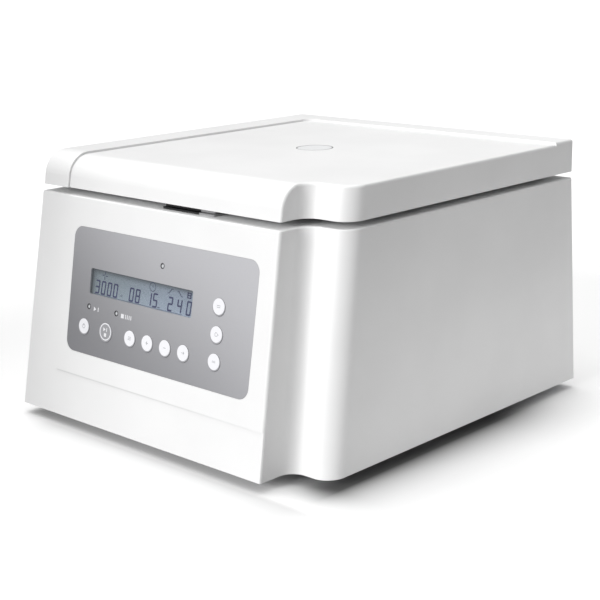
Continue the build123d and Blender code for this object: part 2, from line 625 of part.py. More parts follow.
with BuildPart() as angle_rotor:
    with BuildSketch(SECTION):
        with BuildLine():
            Polyline(
                (UPPER_BEARING[0], ROTOR_HUB_BOTTOM), (ROTOR_HUB_RADIUS, ROTOR_HUB_BOTTOM),
                (HUB_WAIST, ROTOR_HUB_BOTTOM + 16), (HUB_WAIST, dish_top(HUB_WAIST) - PLATE_RISE),
                (ROTOR_RIM_RADIUS, dish_top(ROTOR_RIM_RADIUS) - PLATE_RISE),
                (ROTOR_RIM_RADIUS + 1.5, dish_top(ROTOR_RIM_RADIUS) - 2),
                (ROTOR_RIM_RADIUS - 1, dish_top(ROTOR_RIM_RADIUS - 1)), (HUB_WAIST, dish_top(HUB_WAIST)),
                (KNOB_RADIUS, dish_top(HUB_WAIST)), (KNOB_RADIUS, ROTOR_HUB_TOP),
                (UPPER_BEARING[0], ROTOR_HUB_TOP), close=True)
        make_face()
    revolve(axis=AXIS)
    for number in range(TUBES):
        centre, way_out, up_rim = mouth(number)
        mouth_plane = Plane(origin=centre, x_dir=up_rim, z_dir=way_out)
        with BuildSketch(mouth_plane.offset(-BOSS_LENGTH)):
            Circle(BOSS_RADIUS)
        extrude(amount=BOSS_LENGTH)
        turn = Vector(up_rim.X, up_rim.Y, 0).normalized()
        radial = Plane(origin=(AXIS_X, AXIS_Y, 0), x_dir=turn, z_dir=turn.cross(Vector(0, 0, 1)))
        with BuildSketch(radial):
            with BuildLine():
                Polyline((ROTOR_HUB_RADIUS - 2, ROTOR_HUB_BOTTOM + 3), (ROTOR_HUB_RADIUS - 2, MOUTH_HEIGHT - 18),
                         (MOUTH_RADIUS, MOUTH_HEIGHT - 3), (MOUTH_RADIUS + 16, MOUTH_HEIGHT - 24),
                         (MOUTH_RADIUS + 8, MOUTH_HEIGHT - 32), (ROTOR_HUB_RADIUS + 9, ROTOR_HUB_BOTTOM + 6),
                         close=True)
            make_face()
        extrude(amount=ROTOR_RIB / 2, both=True)
    for number in range(TUBES):
        centre, way_out, up_rim = mouth(number)
        mouth_plane = Plane(origin=centre, x_dir=up_rim, z_dir=way_out)
        with BuildSketch(mouth_plane):
            Circle(BOSS_RADIUS + 0.2)
        extrude(amount=6, mode=Mode.SUBTRACT)
        with BuildSketch(mouth_plane.offset(1)):
            Circle(SLEEVE_RADIUS + SLEEVE_CLEARANCE)
        extrude(amount=-(BOSS_LENGTH + 2), mode=Mode.SUBTRACT)
angle_rotor.part.label = "angle_rotor"
export_step(angle_rotor.part, "parts/angle_rotor.step")

# Sleeves: eight round-bottomed shields that hang in the rotor by their flanges
for number in range(TUBES):
    centre, way_out, up_rim = mouth(number)
    with BuildPart() as tube_sleeve:
        with BuildSketch(Plane(origin=centre, x_dir=up_rim, z_dir=up_rim.cross(way_out))) as half:
            with BuildLine():
                Polyline(
                    (0, -SLEEVE_LENGTH), (SLEEVE_RADIUS, -SLEEVE_LENGTH), (SLEEVE_RADIUS, 0),
                    (BOSS_RADIUS - 0.3, 0), (BOSS_RADIUS - 0.3, SLEEVE_FLANGE),
                    (SLEEVE_RADIUS - SLEEVE_WALL, SLEEVE_FLANGE),
                    (SLEEVE_RADIUS - SLEEVE_WALL, SLEEVE_WALL - SLEEVE_LENGTH), (0, SLEEVE_WALL - SLEEVE_LENGTH),
                    close=True)
            make_face()
            fillet(half.vertices().sort_by_distance((SLEEVE_RADIUS, -SLEEVE_LENGTH, 0))[0], 5.0)
            fillet(half.vertices().sort_by_distance(
                (SLEEVE_RADIUS - SLEEVE_WALL, SLEEVE_WALL - SLEEVE_LENGTH, 0))[0], 5.0 - SLEEVE_WALL)
        revolve(axis=Axis(centre, way_out))
    tube_sleeve.part.label = f"tube_sleeve_{number + 1}"
    export_step(tube_sleeve.part, f"parts/tube_sleeve_{number + 1}.step")

with BuildPart() as rotor_knob:
    with BuildSketch(Plane.XY.offset(ROTOR_HUB_TOP)):
        with Locations(CENTRE):
            Circle(KNOB_RADIUS)
    extrude(amount=KNOB_HEIGHT)
    chamfer(rotor_knob.faces().sort_by(Axis.Z)[-1].edges(), 1.0)
    with BuildSketch(Plane.XY.offset(ROTOR_HUB_TOP - 1)):
        with Locations(CENTRE):
            with PolarLocations(KNOB_RADIUS + 1, 12):
                Circle(2.0)
    extrude(amount=KNOB_HEIGHT + 2, mode=Mode.SUBTRACT)
    with BuildSketch(Plane.XY.offset(ROTOR_HUB_TOP)):
        with Locations(CENTRE):
            Circle(THREAD_RADIUS + RUNNING_CLEARANCE)
    extrude(amount=9.5, mode=Mode.SUBTRACT)
rotor_knob.part.label = "rotor_knob"
export_step(rotor_knob.part, "parts/rotor_knob.step")


# Lid: side profile run across the width and cut by the plan, so the flute and column carry on upwards
def lid_block(sink, inset, bottom):
    """The lid's form, sunk evenly for the centre panel and inset evenly for the hollow."""
    lean = FRONT_LEAN / BODY_HEIGHT
    shift = sink + inset
    front = FRONT_TOP + lean * LID_GAP + shift
    top = LID_TOP - shift
    with BuildPart() as block:
        loft(sections=[lid_outline(bottom, inset), lid_outline(LID_TOP, inset)])
        with BuildSketch(Plane.YZ.offset(-BASE_WIDTH)) as side:
            with BuildLine():
                Polyline((front + lean * (bottom - LID_BOTTOM), bottom), (front + lean * (top - LID_BOTTOM), top),
                         (REAR_TOP - inset, top), (REAR_TOP - inset, bottom), close=True)
            make_face()
            nose = side.vertices().sort_by_distance((front + lean * (top - LID_BOTTOM), top, 0))[0]
            fillet(nose, LID_NOSE_RADIUS - shift)
        extrude(amount=2 * BASE_WIDTH, mode=Mode.INTERSECT)
        if inset == 0:
            crown = block.faces().sort_by(Axis.Z)[-1].edges()
            fillet(crown.filter_by(lambda edge: edge.center().Y > front + LID_NOSE_RADIUS + 5), LID_EDGE_RADIUS)
    return block.part


SEAM_X = LID_STRIP_WIDTH - HALF_WIDTH_TOP
SEAM_Y = REAR_TOP - LID_REAR_STRIP
LID_PANEL_TOP = LID_TOP - LID_STEP


def panel_field():
    """Plan of the lid's sunk panel: open to the front and right, round in its one corner."""
    with BuildSketch(Plane.XY.offset(BODY_TOP)) as field:
        with BuildLine():
            Polyline((SEAM_X, -BASE_DEPTH), (BASE_WIDTH, -BASE_DEPTH), (BASE_WIDTH, SEAM_Y), (SEAM_X, SEAM_Y),
                     close=True)
        make_face()
        fillet(field.vertices().sort_by_distance((SEAM_X, SEAM_Y, 0))[0], LID_SEAM_RADIUS)
    return field.sketch


with BuildPart() as lid_panel:
    add(lid_block(LID_STEP, 0, LID_BOTTOM))
    extrude(panel_field(), amount=2 * LID_HEIGHT, mode=Mode.INTERSECT)

with BuildPart() as lid_shell:
    add(lid_block(0, 0, LID_BOTTOM))
    extrude(panel_field(), amount=2 * LID_HEIGHT, mode=Mode.SUBTRACT)
    add(lid_panel.part)
    add(lid_block(LID_STEP, LID_WALL, LID_BOTTOM - 1), mode=Mode.SUBTRACT)
    with BuildSketch(Plane.XY.offset(LID_PANEL_TOP)):
        with Locations(CENTRE):
            Circle(WINDOW_RADIUS + FIT)
    extrude(amount=-WINDOW_FLANGE, mode=Mode.SUBTRACT)
    with BuildSketch(Plane.XY.offset(LID_PANEL_TOP)):
        with Locations(CENTRE):
            Circle(WINDOW_STEM_RADIUS + FIT)
    extrude(amount=-2 * LID_WALL, mode=Mode.SUBTRACT)
    for side in (-1, 1):
        with BuildSketch(Plane.XY.offset(LID_BOTTOM - 1)):
            with Locations((side * HINGE_X, PIVOT_Y - HINGE_BARREL_RADIUS - 1.1)):
                Rectangle(HINGE_NOTCH, 40, align=(Align.CENTER, Align.MIN))
        extrude(amount=PIVOT_Z + HINGE_BARREL_RADIUS + 1.1 - LID_BOTTOM + 1, mode=Mode.SUBTRACT)
lid_shell.part.label = "lid_shell"
export_step(lid_shell.part, "parts/lid_shell.step")

# Liner: closes the lid from below and domes up over the rotor
LINER_TOP = LID_BOTTOM + LINER_THICKNESS
DOME_TOP = LID_BOTTOM + LID_DOME_RISE

with BuildPart() as lid_liner:
    add(lid_block(LID_STEP, LID_WALL + FIT, LID_BOTTOM))
    with BuildSketch(Plane.XY.offset(LINER_TOP)):
        Rectangle(2 * BASE_WIDTH, 2 * BASE_DEPTH)
    extrude(amount=2 * LID_HEIGHT, mode=Mode.SUBTRACT)
    with BuildSketch(SECTION):
        with BuildLine():
            Polyline((0, LID_BOTTOM), (LID_DOME_RADIUS + LINER_THICKNESS, LID_BOTTOM),
                     (LID_DOME_RADIUS + LINER_THICKNESS, LINER_TOP), (LID_DOME_RADIUS - 8, DOME_TOP + LINER_THICKNESS),
                     (0, DOME_TOP + LINER_THICKNESS), close=True)
        make_face()
    revolve(axis=AXIS)
    with BuildSketch(SECTION):
        with BuildLine():
            Polyline((0, LID_BOTTOM - 1), (LID_DOME_RADIUS, LID_BOTTOM - 1), (LID_DOME_RADIUS, LID_BOTTOM),
                     (LID_DOME_RADIUS - 9, DOME_TOP), (0, DOME_TOP), close=True)
        make_face()
    revolve(axis=AXIS, mode=Mode.SUBTRACT)
    with BuildSketch(Plane.XY.offset(DOME_TOP - 1)):
        with Locations(CENTRE):
            Circle(WINDOW_STEM_RADIUS + FIT)
    extrude(amount=LINER_THICKNESS + 2, mode=Mode.SUBTRACT)
    for side in (-1, 1):
        with BuildSketch(Plane.XY.offset(LID_BOTTOM - 1)):
            with Locations((side * HINGE_X, PIVOT_Y - HINGE_BARREL_RADIUS - 1.1)):
                Rectangle(HINGE_NOTCH, 40, align=(Align.CENTER, Align.MIN))
        extrude(amount=LINER_THICKNESS + 2, mode=Mode.SUBTRACT)
lid_liner.part.label = "lid_liner"
export_step(lid_liner.part, "parts/lid_liner.step")

# Sight window: a clear plug over the rotor's axis, for a hand-held tachometer
with BuildPart() as sight_window:
    with BuildSketch(Plane.XY.offset(LID_PANEL_TOP - WINDOW_FLANGE)):
        with Locations(CENTRE):
            Circle(WINDOW_RADIUS)
    extrude(amount=WINDOW_FLANGE)
    chamfer(sight_window.faces().sort_by(Axis.Z)[-1].edges(), 0.5)
    with BuildSketch(Plane.XY.offset(DOME_TOP)):
        with Locations(CENTRE):
            Circle(WINDOW_STEM_RADIUS)
    extrude(amount=LID_PANEL_TOP - WINDOW_FLANGE - DOME_TOP)
sight_window.part.label = "sight_window"
export_step(sight_window.part, "parts/sight_window.step")

# Hinges: knuckles on one pin each, a bracket under the deck and an arm on top of the liner
KNUCKLE = (HINGE_WIDTH - HINGE_ARM_WIDTH - 2 * FIT) / 2
HINGE_FRONT = PIVOT_Y - HINGE_BARREL_RADIUS
NECK = 4.0


def hinge_leaf_profile(leaf_bottom, leaf_top):
    """Section of a hinge half: barrel, neck and flat leaf, with the pin hole."""
    low, high = min(leaf_bottom, PIVOT_Z), max(leaf_top, PIVOT_Z)
    with BuildSketch(Plane.YZ) as profile:
        with Locations((PIVOT_Y, PIVOT_Z)):
            Circle(HINGE_BARREL_RADIUS)
        with Locations((HINGE_FRONT, low)):
            Rectangle(NECK, high - low, align=(Align.MIN, Align.MIN))
        with Locations((HINGE_FRONT + NECK, leaf_bottom)):
            Rectangle(HINGE_LEAF_LENGTH, leaf_top - leaf_bottom, align=(Align.MAX, Align.MIN))
        with Locations((PIVOT_Y, PIVOT_Z)):
            Circle(HINGE_PIN_RADIUS + PIN_CLEARANCE, mode=Mode.SUBTRACT)
    return profile.sketch


with BuildPart() as hinge_brackets:
    section = hinge_leaf_profile(DECK_BOTTOM - HINGE_LEAF, DECK_BOTTOM)
    for side in (-1, 1):
        for end in (-1, 1):
            centre_x = side * HINGE_X + end * (HINGE_WIDTH - KNUCKLE) / 2
            extrude(section.moved(Location((centre_x - KNUCKLE / 2, 0, 0))), amount=KNUCKLE)
        with BuildSketch(Plane.XY.offset(DECK_BOTTOM - HINGE_LEAF)):
            with Locations((side * HINGE_X, HINGE_FRONT + NECK - HINGE_LEAF_LENGTH)):
                Rectangle(HINGE_WIDTH, HINGE_LEAF_LENGTH - NECK - 3, align=(Align.CENTER, Align.MIN))
        extrude(amount=HINGE_LEAF)
hinge_brackets.part.label = "hinge_brackets"
export_step(hinge_brackets.part, "parts/hinge_brackets.step")

with BuildPart() as hinge_arms:
    section = hinge_leaf_profile(LINER_TOP, LINER_TOP + HINGE_LEAF)
    for side in (-1, 1):
        extrude(section.moved(Location((side * HINGE_X - HINGE_ARM_WIDTH / 2, 0, 0))), amount=HINGE_ARM_WIDTH)
hinge_arms.part.label = "hinge_arms"
export_step(hinge_arms.part, "parts/hinge_arms.step")

with BuildPart() as hinge_pins:
    for side in (-1, 1):
        with BuildSketch(Plane.YZ.offset(side * HINGE_X - HINGE_WIDTH / 2)):
            with Locations((PIVOT_Y, PIVOT_Z)):
                Circle(HINGE_PIN_RADIUS)
        extrude(amount=HINGE_WIDTH)
hinge_pins.part.label = "hinge_pins"
export_step(hinge_pins.part, "parts/hinge_pins.step")

# Latch: the lid's hook drops through the deck, and a sliding bolt enters its eye
BOLT_Z = BODY_TOP - BOLT_DROP
HOOK_BOTTOM = BODY_TOP - HOOK_DROP
CATCH_BOTTOM = BODY_TOP + 2.0
CATCH_SPAN = 14.0

with BuildPart() as lid_catch:
    with BuildSketch(Plane.XY.offset(CATCH_BOTTOM)):
        with Locations((LATCH_X, LATCH_Y)):
            RectangleRounded(CATCH_WIDTH, CATCH_SPAN, 2)
    extrude(amount=LID_BOTTOM - CATCH_BOTTOM)
    with BuildSketch(Plane.YZ.offset(LATCH_X - HOOK_WIDTH / 2)):
        with BuildLine():
            Polyline((LATCH_Y - HOOK_DEPTH / 2, CATCH_BOTTOM), (LATCH_Y + HOOK_DEPTH / 2, CATCH_BOTTOM),
                     (LATCH_Y + HOOK_DEPTH / 2, HOOK_BOTTOM + 3), (LATCH_Y + HOOK_DEPTH / 2 - 3, HOOK_BOTTOM),
                     (LATCH_Y - HOOK_DEPTH / 2 + 3, HOOK_BOTTOM), (LATCH_Y - HOOK_DEPTH / 2, HOOK_BOTTOM + 3),
                     close=True)
        make_face()
        with Locations((LATCH_Y, BOLT_Z)):
            Circle(BOLT_RADIUS + 0.4, mode=Mode.SUBTRACT)
    extrude(amount=HOOK_WIDTH)
lid_catch.part.label = "lid_catch"
export_step(lid_catch.part, "parts/lid_catch.step")

with BuildPart() as latch_escutcheon:
    with BuildSketch(Plane.XY.offset(BODY_TOP)):
        with Locations((LATCH_X, LATCH_Y)):
            RectangleRounded(CATCH_WIDTH + 2, CATCH_SPAN + 4, 2)
            Rectangle(*HOOK_SLOT, mode=Mode.SUBTRACT)
    extrude(amount=1.4)
latch_escutcheon.part.label = "latch_escutcheon"
export_step(latch_escutcheon.part, "parts/latch_escutcheon.step")

FRAME_LEFT = LATCH_X - 60.0
FRAME_RIGHT = LATCH_X + 34.0
FRAME_SHEET = 1.5
GUIDE_X = LATCH_X - HOOK_WIDTH / 2 - 5.0
SOLENOID = (26.0, 16.0, 17.0)
SOLENOID_X = GUIDE_X - 14.0

with BuildPart() as latch_frame:
    with BuildSketch(Plane.XY.offset(DECK_BOTTOM - FRAME_SHEET)):
        with Locations(((FRAME_LEFT + FRAME_RIGHT) / 2, LATCH_Y)):
            Rectangle(FRAME_RIGHT - FRAME_LEFT, CATCH_SPAN + 4)
        with Locations((LATCH_X, LATCH_Y)):
            Rectangle(*HOOK_SLOT, mode=Mode.SUBTRACT)
    extrude(amount=FRAME_SHEET)
    with BuildSketch(Plane.YZ.offset(GUIDE_X - FRAME_SHEET)):
        with Locations((LATCH_Y, DECK_BOTTOM)):
            Rectangle(CATCH_SPAN, DECK_BOTTOM - BOLT_Z + 6, align=(Align.CENTER, Align.MAX))
        with Locations((LATCH_Y, BOLT_Z)):
            Circle(BOLT_RADIUS + PIN_CLEARANCE, mode=Mode.SUBTRACT)
    extrude(amount=FRAME_SHEET)
latch_frame.part.label = "latch_frame"
export_step(latch_frame.part, "parts/latch_frame.step")

with BuildPart() as latch_solenoid:
    with BuildSketch(Plane.XY.offset(DECK_BOTTOM - FRAME_SHEET - SOLENOID[2])):
        with Locations((SOLENOID_X - SOLENOID[0] / 2, LATCH_Y)):
            RectangleRounded(SOLENOID[0], SOLENOID[1], 1.5)
    extrude(amount=SOLENOID[2])
    with BuildSketch(Plane.YZ.offset(SOLENOID_X - SOLENOID[0] - 1)):
        with Locations((LATCH_Y, BOLT_Z)):
            Circle(BOLT_RADIUS + 0.2)
    extrude(amount=SOLENOID[0] + 2, mode=Mode.SUBTRACT)
latch_solenoid.part.label = "latch_solenoid"
export_step(latch_solenoid.part, "parts/latch_solenoid.step")

BOLT_TIP = LATCH_X - HOOK_WIDTH / 2 - 1.5
BOLT_TAIL = SOLENOID_X - SOLENOID[0] - BOLT_TRAVEL - 4.0

with BuildPart() as latch_bolt:
    with BuildSketch(Plane.YZ.offset(BOLT_TAIL)):
        with Locations((LATCH_Y, BOLT_Z)):
            Circle(BOLT_RADIUS)
    extrude(amount=BOLT_TIP - BOLT_TAIL)
    chamfer(latch_bolt.faces().sort_by(Axis.X)[-1].edges(), 0.8)
    with BuildSketch(Plane.YZ.offset(BOLT_TAIL)):
        with Locations((LATCH_Y, BOLT_Z)):
            Circle(BOLT_RADIUS + 2)
    extrude(amount=2.5)
latch_bolt.part.label = "latch_bolt"
export_step(latch_bolt.part, "parts/latch_bolt.step")

with BuildPart() as lid_switch:
    with BuildSketch(Plane.XY.offset(DECK_BOTTOM - FRAME_SHEET - 10)):
        with Locations((LATCH_X + HOOK_WIDTH / 2 + 3 + 10, LATCH_Y)):
            Rectangle(20, 6.4)
    extrude(amount=10)
    with BuildSketch(Plane.XY.offset(DECK_BOTTOM - FRAME_SHEET - 12.5)):
        with Locations((LATCH_X + HOOK_WIDTH / 2 + 3 + 10, LATCH_Y)):
            with GridLocations(7, 1, 3, 1):
                Rectangle(0.8, 4)
    extrude(amount=3)
lid_switch.part.label = "lid_switch"
export_step(lid_switch.part, "parts/lid_switch.step")

# Control panel: a flush overlay with round keys, a display lens and three lamps
with BuildPart() as control_panel:
    with BuildSketch(FRONT.offset(-PANEL_THICKNESS)):
        with Locations((PANEL_X, PANEL_UP)):
            RectangleRounded(PANEL_WIDTH - FIT, PANEL_HEIGHT - FIT, PANEL_RADIUS - FIT / 2)
        with Locations((DISPLAY_X, DISPLAY_UP)):
            RectangleRounded(DISPLAY_WIDTH, DISPLAY_HEIGHT, DISPLAY_RADIUS, mode=Mode.SUBTRACT)
        for name, place in key_places().items():
            with Locations(place):
                Circle(key_radius(name) + KEY_GAP, mode=Mode.SUBTRACT)
        with Locations(*LED_PLACES):
            Circle(LED_RADIUS + 0.1, mode=Mode.SUBTRACT)
    extrude(amount=PANEL_THICKNESS)
control_panel.part.label = "control_panel"
export_step(control_panel.part, "parts/control_panel.step")

WINDOW_BACK = 0.9

with BuildPart() as display_window:
    with BuildSketch(FRONT.offset(-PANEL_THICKNESS)):
        with Locations((DISPLAY_X, DISPLAY_UP)):
            RectangleRounded(DISPLAY_WIDTH - FIT, DISPLAY_HEIGHT - FIT, DISPLAY_RADIUS - FIT / 2)
    extrude(amount=PANEL_THICKNESS)
    with BuildSketch(FRONT.offset(-PANEL_THICKNESS)):
        with Locations((DISPLAY_X, DISPLAY_UP)):
            Rectangle(DISPLAY_WIDTH + 2.4, DISPLAY_HEIGHT + 2.4)
    extrude(amount=-WINDOW_BACK)
display_window.part.label = "display_window"
export_step(display_window.part, "parts/display_window.step")

DISPLAY_DEPTH = PANEL_THICKNESS + WINDOW_BACK

with BuildPart() as display_module:
    with BuildSketch(FRONT.offset(-DISPLAY_DEPTH)):
        with Locations((DISPLAY_X, DISPLAY_UP)):
            Rectangle(DISPLAY_WIDTH + 2, DISPLAY_HEIGHT + 2)
    extrude(amount=-(BOARD_DEPTH - DISPLAY_DEPTH))
display_module.part.label = "display_module"
export_step(display_module.part, "parts/display_module.step")

with BuildPart() as control_board:
    with BuildSketch(FRONT.offset(-BOARD_DEPTH - BOARD_THICKNESS)):
        with Locations((PANEL_X, PANEL_UP)):
            Rectangle(PANEL_WIDTH - 6, PANEL_HEIGHT - 5)
        with Locations(*BOARD_BOSSES):
            Circle(1.4, mode=Mode.SUBTRACT)
    extrude(amount=BOARD_THICKNESS)
    with BuildSketch(FRONT.offset(-BOARD_DEPTH - BOARD_THICKNESS)):
        with Locations((PANEL_X - 30, PANEL_UP + 6)):
            Rectangle(14, 14)
        with Locations((PANEL_X + 40, PANEL_UP + 30)):
            Rectangle(30, 8)
    extrude(amount=-5)
control_board.part.label = "control_board"
export_step(control_board.part, "parts/control_board.step")

SWITCH_TOP = KEY_FLANGE + PANEL_THICKNESS + 2.0 + KEY_TRAVEL

with BuildPart() as key_switches:
    with BuildSketch(FRONT.offset(-BOARD_DEPTH)):
        for place in key_places().values():
            with Locations(place):
                Rectangle(SWITCH_BODY, SWITCH_BODY)
    extrude(amount=BOARD_DEPTH - SWITCH_TOP - 0.8)
    with BuildSketch(FRONT.offset(-BOARD_DEPTH)):
        for place in key_places().values():
            with Locations(place):
                Circle(1.7)
    extrude(amount=BOARD_DEPTH - SWITCH_TOP)
key_switches.part.label = "key_switches"
export_step(key_switches.part, "parts/key_switches.step")

with BuildPart() as status_lamps:
    with BuildSketch(FRONT.offset(-BOARD_DEPTH)):
        with Locations(*LED_PLACES):
            Circle(LED_RADIUS)
    extrude(amount=BOARD_DEPTH - 0.2)
    fillet(status_lamps.faces().filter_by(lambda face: abs(face.normal_at().dot(FRONT.z_dir) - 1) < 1e-4).edges(), 0.8)
status_lamps.part.label = "status_lamps"
export_step(status_lamps.part, "parts/status_lamps.step")

for name, place in key_places().items():
    radius = key_radius(name)
    with BuildPart() as key:
        with BuildSketch(FRONT.offset(-PANEL_THICKNESS - 0.05)):
            with Locations(place):
                Circle(radius)
        extrude(amount=PANEL_THICKNESS + 0.05 + KEY_PROUD)
        front_face = key.faces().filter_by(lambda face: face.normal_at().dot(FRONT.z_dir) > 0.999)
        fillet(front_face.edges(), KEY_PROUD * 0.8)
        with BuildSketch(FRONT.offset(-PANEL_THICKNESS - 0.05)):
            with Locations(place):
                Circle(radius + KEY_FLANGE)
        extrude(amount=-KEY_FLANGE)
        with BuildSketch(FRONT.offset(-PANEL_THICKNESS - KEY_FLANGE)):
            with Locations(place):
                Circle(2)
        extrude(amount=-1.9)
    key.part.label = name
    export_step(key.part, f"parts/{name}.step")

# Power board on the base pan
with BuildPart() as power_board:
    with BuildSketch(Plane.XY.offset(BASE_TOP + BOARD_STANDOFF)):
        with Locations(BOARD_CENTRE):
            Rectangle(*BOARD_SIZE)
    extrude(amount=BOARD_THICKNESS)
    board_top = Plane.XY.offset(BASE_TOP + BOARD_STANDOFF + BOARD_THICKNESS)
    with BuildSketch(board_top):
        with Locations((BOARD_CENTRE[0], BOARD_CENTRE[1] + 40)):
            Rectangle(40, 34)
    extrude(amount=28)
    with BuildSketch(board_top):
        with Locations((BOARD_CENTRE[0] - 16, BOARD_CENTRE[1] + 2), (BOARD_CENTRE[0] + 12, BOARD_CENTRE[1] + 2)):
            Circle(11)
    extrude(amount=32)
    with BuildSketch(board_top):
        with Locations((BOARD_CENTRE[0], BOARD_CENTRE[1] - 38)):
            Rectangle(50, 24)
            with GridLocations(6, 1, 8, 1):
                Rectangle(3, 20, mode=Mode.SUBTRACT)
    extrude(amount=24)
power_board.part.label = "power_board"
export_step(power_board.part, "parts/power_board.step")

# Out-of-balance switch beside the motor plate
IMBALANCE_X = AXIS_X + MOTOR_PLATE_SIZE / 2 + 3.0

with BuildPart() as imbalance_switch:
    with BuildSketch(Plane.XY.offset(BASE_TOP)):
        with Locations((IMBALANCE_X + 6, AXIS_Y)):
            Rectangle(12, 20)
    extrude(amount=1.5)
    with BuildSketch(Plane.XY.offset(BASE_TOP)):
        with Locations((IMBALANCE_X + 3, AXIS_Y)):
            Rectangle(6, 20)
    extrude(amount=PLATE_TOP + 4 - BASE_TOP)
imbalance_switch.part.label = "imbalance_switch"
export_step(imbalance_switch.part, "parts/imbalance_switch.step")

# Mains inlet: an open socket with three flat pins, set in the back wall
INLET_FLANGE = (31.0, 24.0)
SOCKET = (24.0, 16.4)
INLET_PROUD = 1.6
INLET_DEPTH = 22.0
INLET_AT = (-INLET_X, REAR_UP)

with BuildPart() as mains_inlet:
    with BuildSketch(REAR):
        with Locations(INLET_AT):
            RectangleRounded(*INLET_FLANGE, 3)
    extrude(amount=INLET_PROUD)
    with BuildSketch(REAR):
        with Locations(INLET_AT):
            Rectangle(*INLET_BODY)
    extrude(amount=-INLET_DEPTH)
    with BuildSketch(REAR.offset(INLET_PROUD)):
        with Locations(INLET_AT):
            RectangleRounded(*SOCKET, 2)
    extrude(amount=-(INLET_PROUD + INLET_DEPTH - 5), mode=Mode.SUBTRACT)
mains_inlet.part.label = "mains_inlet"
export_step(mains_inlet.part, "parts/mains_inlet.step")

PINS = [(INLET_AT[0] - 7, INLET_AT[1] - 2), (INLET_AT[0] + 7, INLET_AT[1] - 2), (INLET_AT[0], INLET_AT[1] + 2)]

with BuildPart() as inlet_pins:
    with BuildSketch(REAR.offset(5 - INLET_DEPTH)):
        with Locations(*PINS):
            Rectangle(2, 4)
    extrude(amount=INLET_DEPTH - 8)
inlet_pins.part.label = "inlet_pins"
export_step(inlet_pins.part, "parts/inlet_pins.step")

# Power switch: a frame in the back wall and a rocker that tips on its own small pins
SWITCH_AT = (-SWITCH_X, REAR_UP)
SWITCH_FLANGE = (24.0, 18.0)
ROCKER = (18.0, 12.0)
ROCKER_RADIUS = 20.0
ROCKER_SINK = 5.0

with BuildPart() as switch_frame:
    with BuildSketch(REAR):
        with Locations(SWITCH_AT):
            RectangleRounded(*SWITCH_FLANGE, 1.5)
    extrude(amount=INLET_PROUD)
    with BuildSketch(REAR):
        with Locations(SWITCH_AT):
            Rectangle(*SWITCH_BODY_SIZE)
    extrude(amount=-16)
    with BuildSketch(REAR.offset(INLET_PROUD)):
        with Locations(SWITCH_AT):
            Rectangle(ROCKER[0] + 2 * FIT, ROCKER[1] + 2 * FIT)
    extrude(amount=-11, mode=Mode.SUBTRACT)
switch_frame.part.label = "switch_frame"
export_step(switch_frame.part, "parts/switch_frame.step")

ROCKER_PIVOT = REAR.from_local_coords(Vector(*SWITCH_AT, -ROCKER_SINK))
ROCKER_PLANE = Plane(origin=ROCKER_PIVOT, x_dir=REAR.z_dir, z_dir=REAR.y_dir).rotated((0, 0, -ROCKER_TILT))

with BuildPart() as power_rocker:
    with BuildSketch(ROCKER_PLANE.offset(-ROCKER[1] / 2)):
        with BuildLine():
            Polyline((-4, 0), (0, -ROCKER[0] / 2), (ROCKER_SINK + 1.4, 1.1 - ROCKER[0] / 2),
                     (ROCKER_SINK - 0.4, 0), (ROCKER_SINK + 1.4, ROCKER[0] / 2 - 1.1), (0, ROCKER[0] / 2),
                     close=True)
        make_face()
    extrude(amount=ROCKER[1])
power_rocker.part.label = "power_rocker"
export_step(power_rocker.part, "parts/power_rocker.step")
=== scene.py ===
# %% [markdown]
# # A clinical centrifuge
# This lesson dresses a imported CAD model of a bench centrifuge: a white moulded housing with a lid,
# a grey key panel with a liquid-crystal display, and a rotor with eight sleeves under the lid.
# The solids come from CAD and, but for one stray rib, already have the right form. What is left for
# Blender is the finish of each surface, the print on the keys, the digits on the display, a painted
# shadow round the lid's window, the lamps and the camera.

import json
from math import atan, cos, pi, radians, sin

import bpy
from mathutils import Matrix, Vector


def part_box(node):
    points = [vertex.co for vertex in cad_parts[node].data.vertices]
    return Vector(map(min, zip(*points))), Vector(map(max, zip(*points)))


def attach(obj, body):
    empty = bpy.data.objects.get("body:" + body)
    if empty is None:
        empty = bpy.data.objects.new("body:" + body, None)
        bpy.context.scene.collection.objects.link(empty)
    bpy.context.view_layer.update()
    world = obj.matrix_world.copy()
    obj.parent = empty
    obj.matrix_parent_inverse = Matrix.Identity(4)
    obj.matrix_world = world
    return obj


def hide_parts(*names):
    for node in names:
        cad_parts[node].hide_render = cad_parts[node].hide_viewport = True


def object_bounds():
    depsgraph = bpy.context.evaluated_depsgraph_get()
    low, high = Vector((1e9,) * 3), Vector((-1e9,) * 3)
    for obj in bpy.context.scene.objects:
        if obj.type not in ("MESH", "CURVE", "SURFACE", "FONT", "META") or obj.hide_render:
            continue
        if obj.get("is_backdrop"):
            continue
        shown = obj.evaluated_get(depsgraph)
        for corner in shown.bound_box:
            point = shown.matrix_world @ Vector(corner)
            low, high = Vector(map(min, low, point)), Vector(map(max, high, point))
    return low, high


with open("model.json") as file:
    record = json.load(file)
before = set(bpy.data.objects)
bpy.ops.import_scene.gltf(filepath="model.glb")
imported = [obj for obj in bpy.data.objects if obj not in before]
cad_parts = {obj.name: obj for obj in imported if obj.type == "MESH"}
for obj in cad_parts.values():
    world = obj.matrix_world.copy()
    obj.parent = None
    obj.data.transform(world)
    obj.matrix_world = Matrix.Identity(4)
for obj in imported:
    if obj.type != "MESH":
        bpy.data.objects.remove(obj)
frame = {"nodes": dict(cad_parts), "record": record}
cad_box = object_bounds()
bpy.context.scene.view_settings.view_transform = "Standard"
print("CAD nodes:", len(frame["nodes"]), "size in mm:", [round(1000 * s) for s in cad_box[1] - cad_box[0]])

# %% [markdown]
# ## Camera
# The photograph is taken from the front right and a little above, with a long lens that stands 1.1 m
# away. Place, turn and lens were worked out from the straight edges of the housing. The camera leans
# by almost one degree, so a matrix of its right, up and backward directions says more than angles.

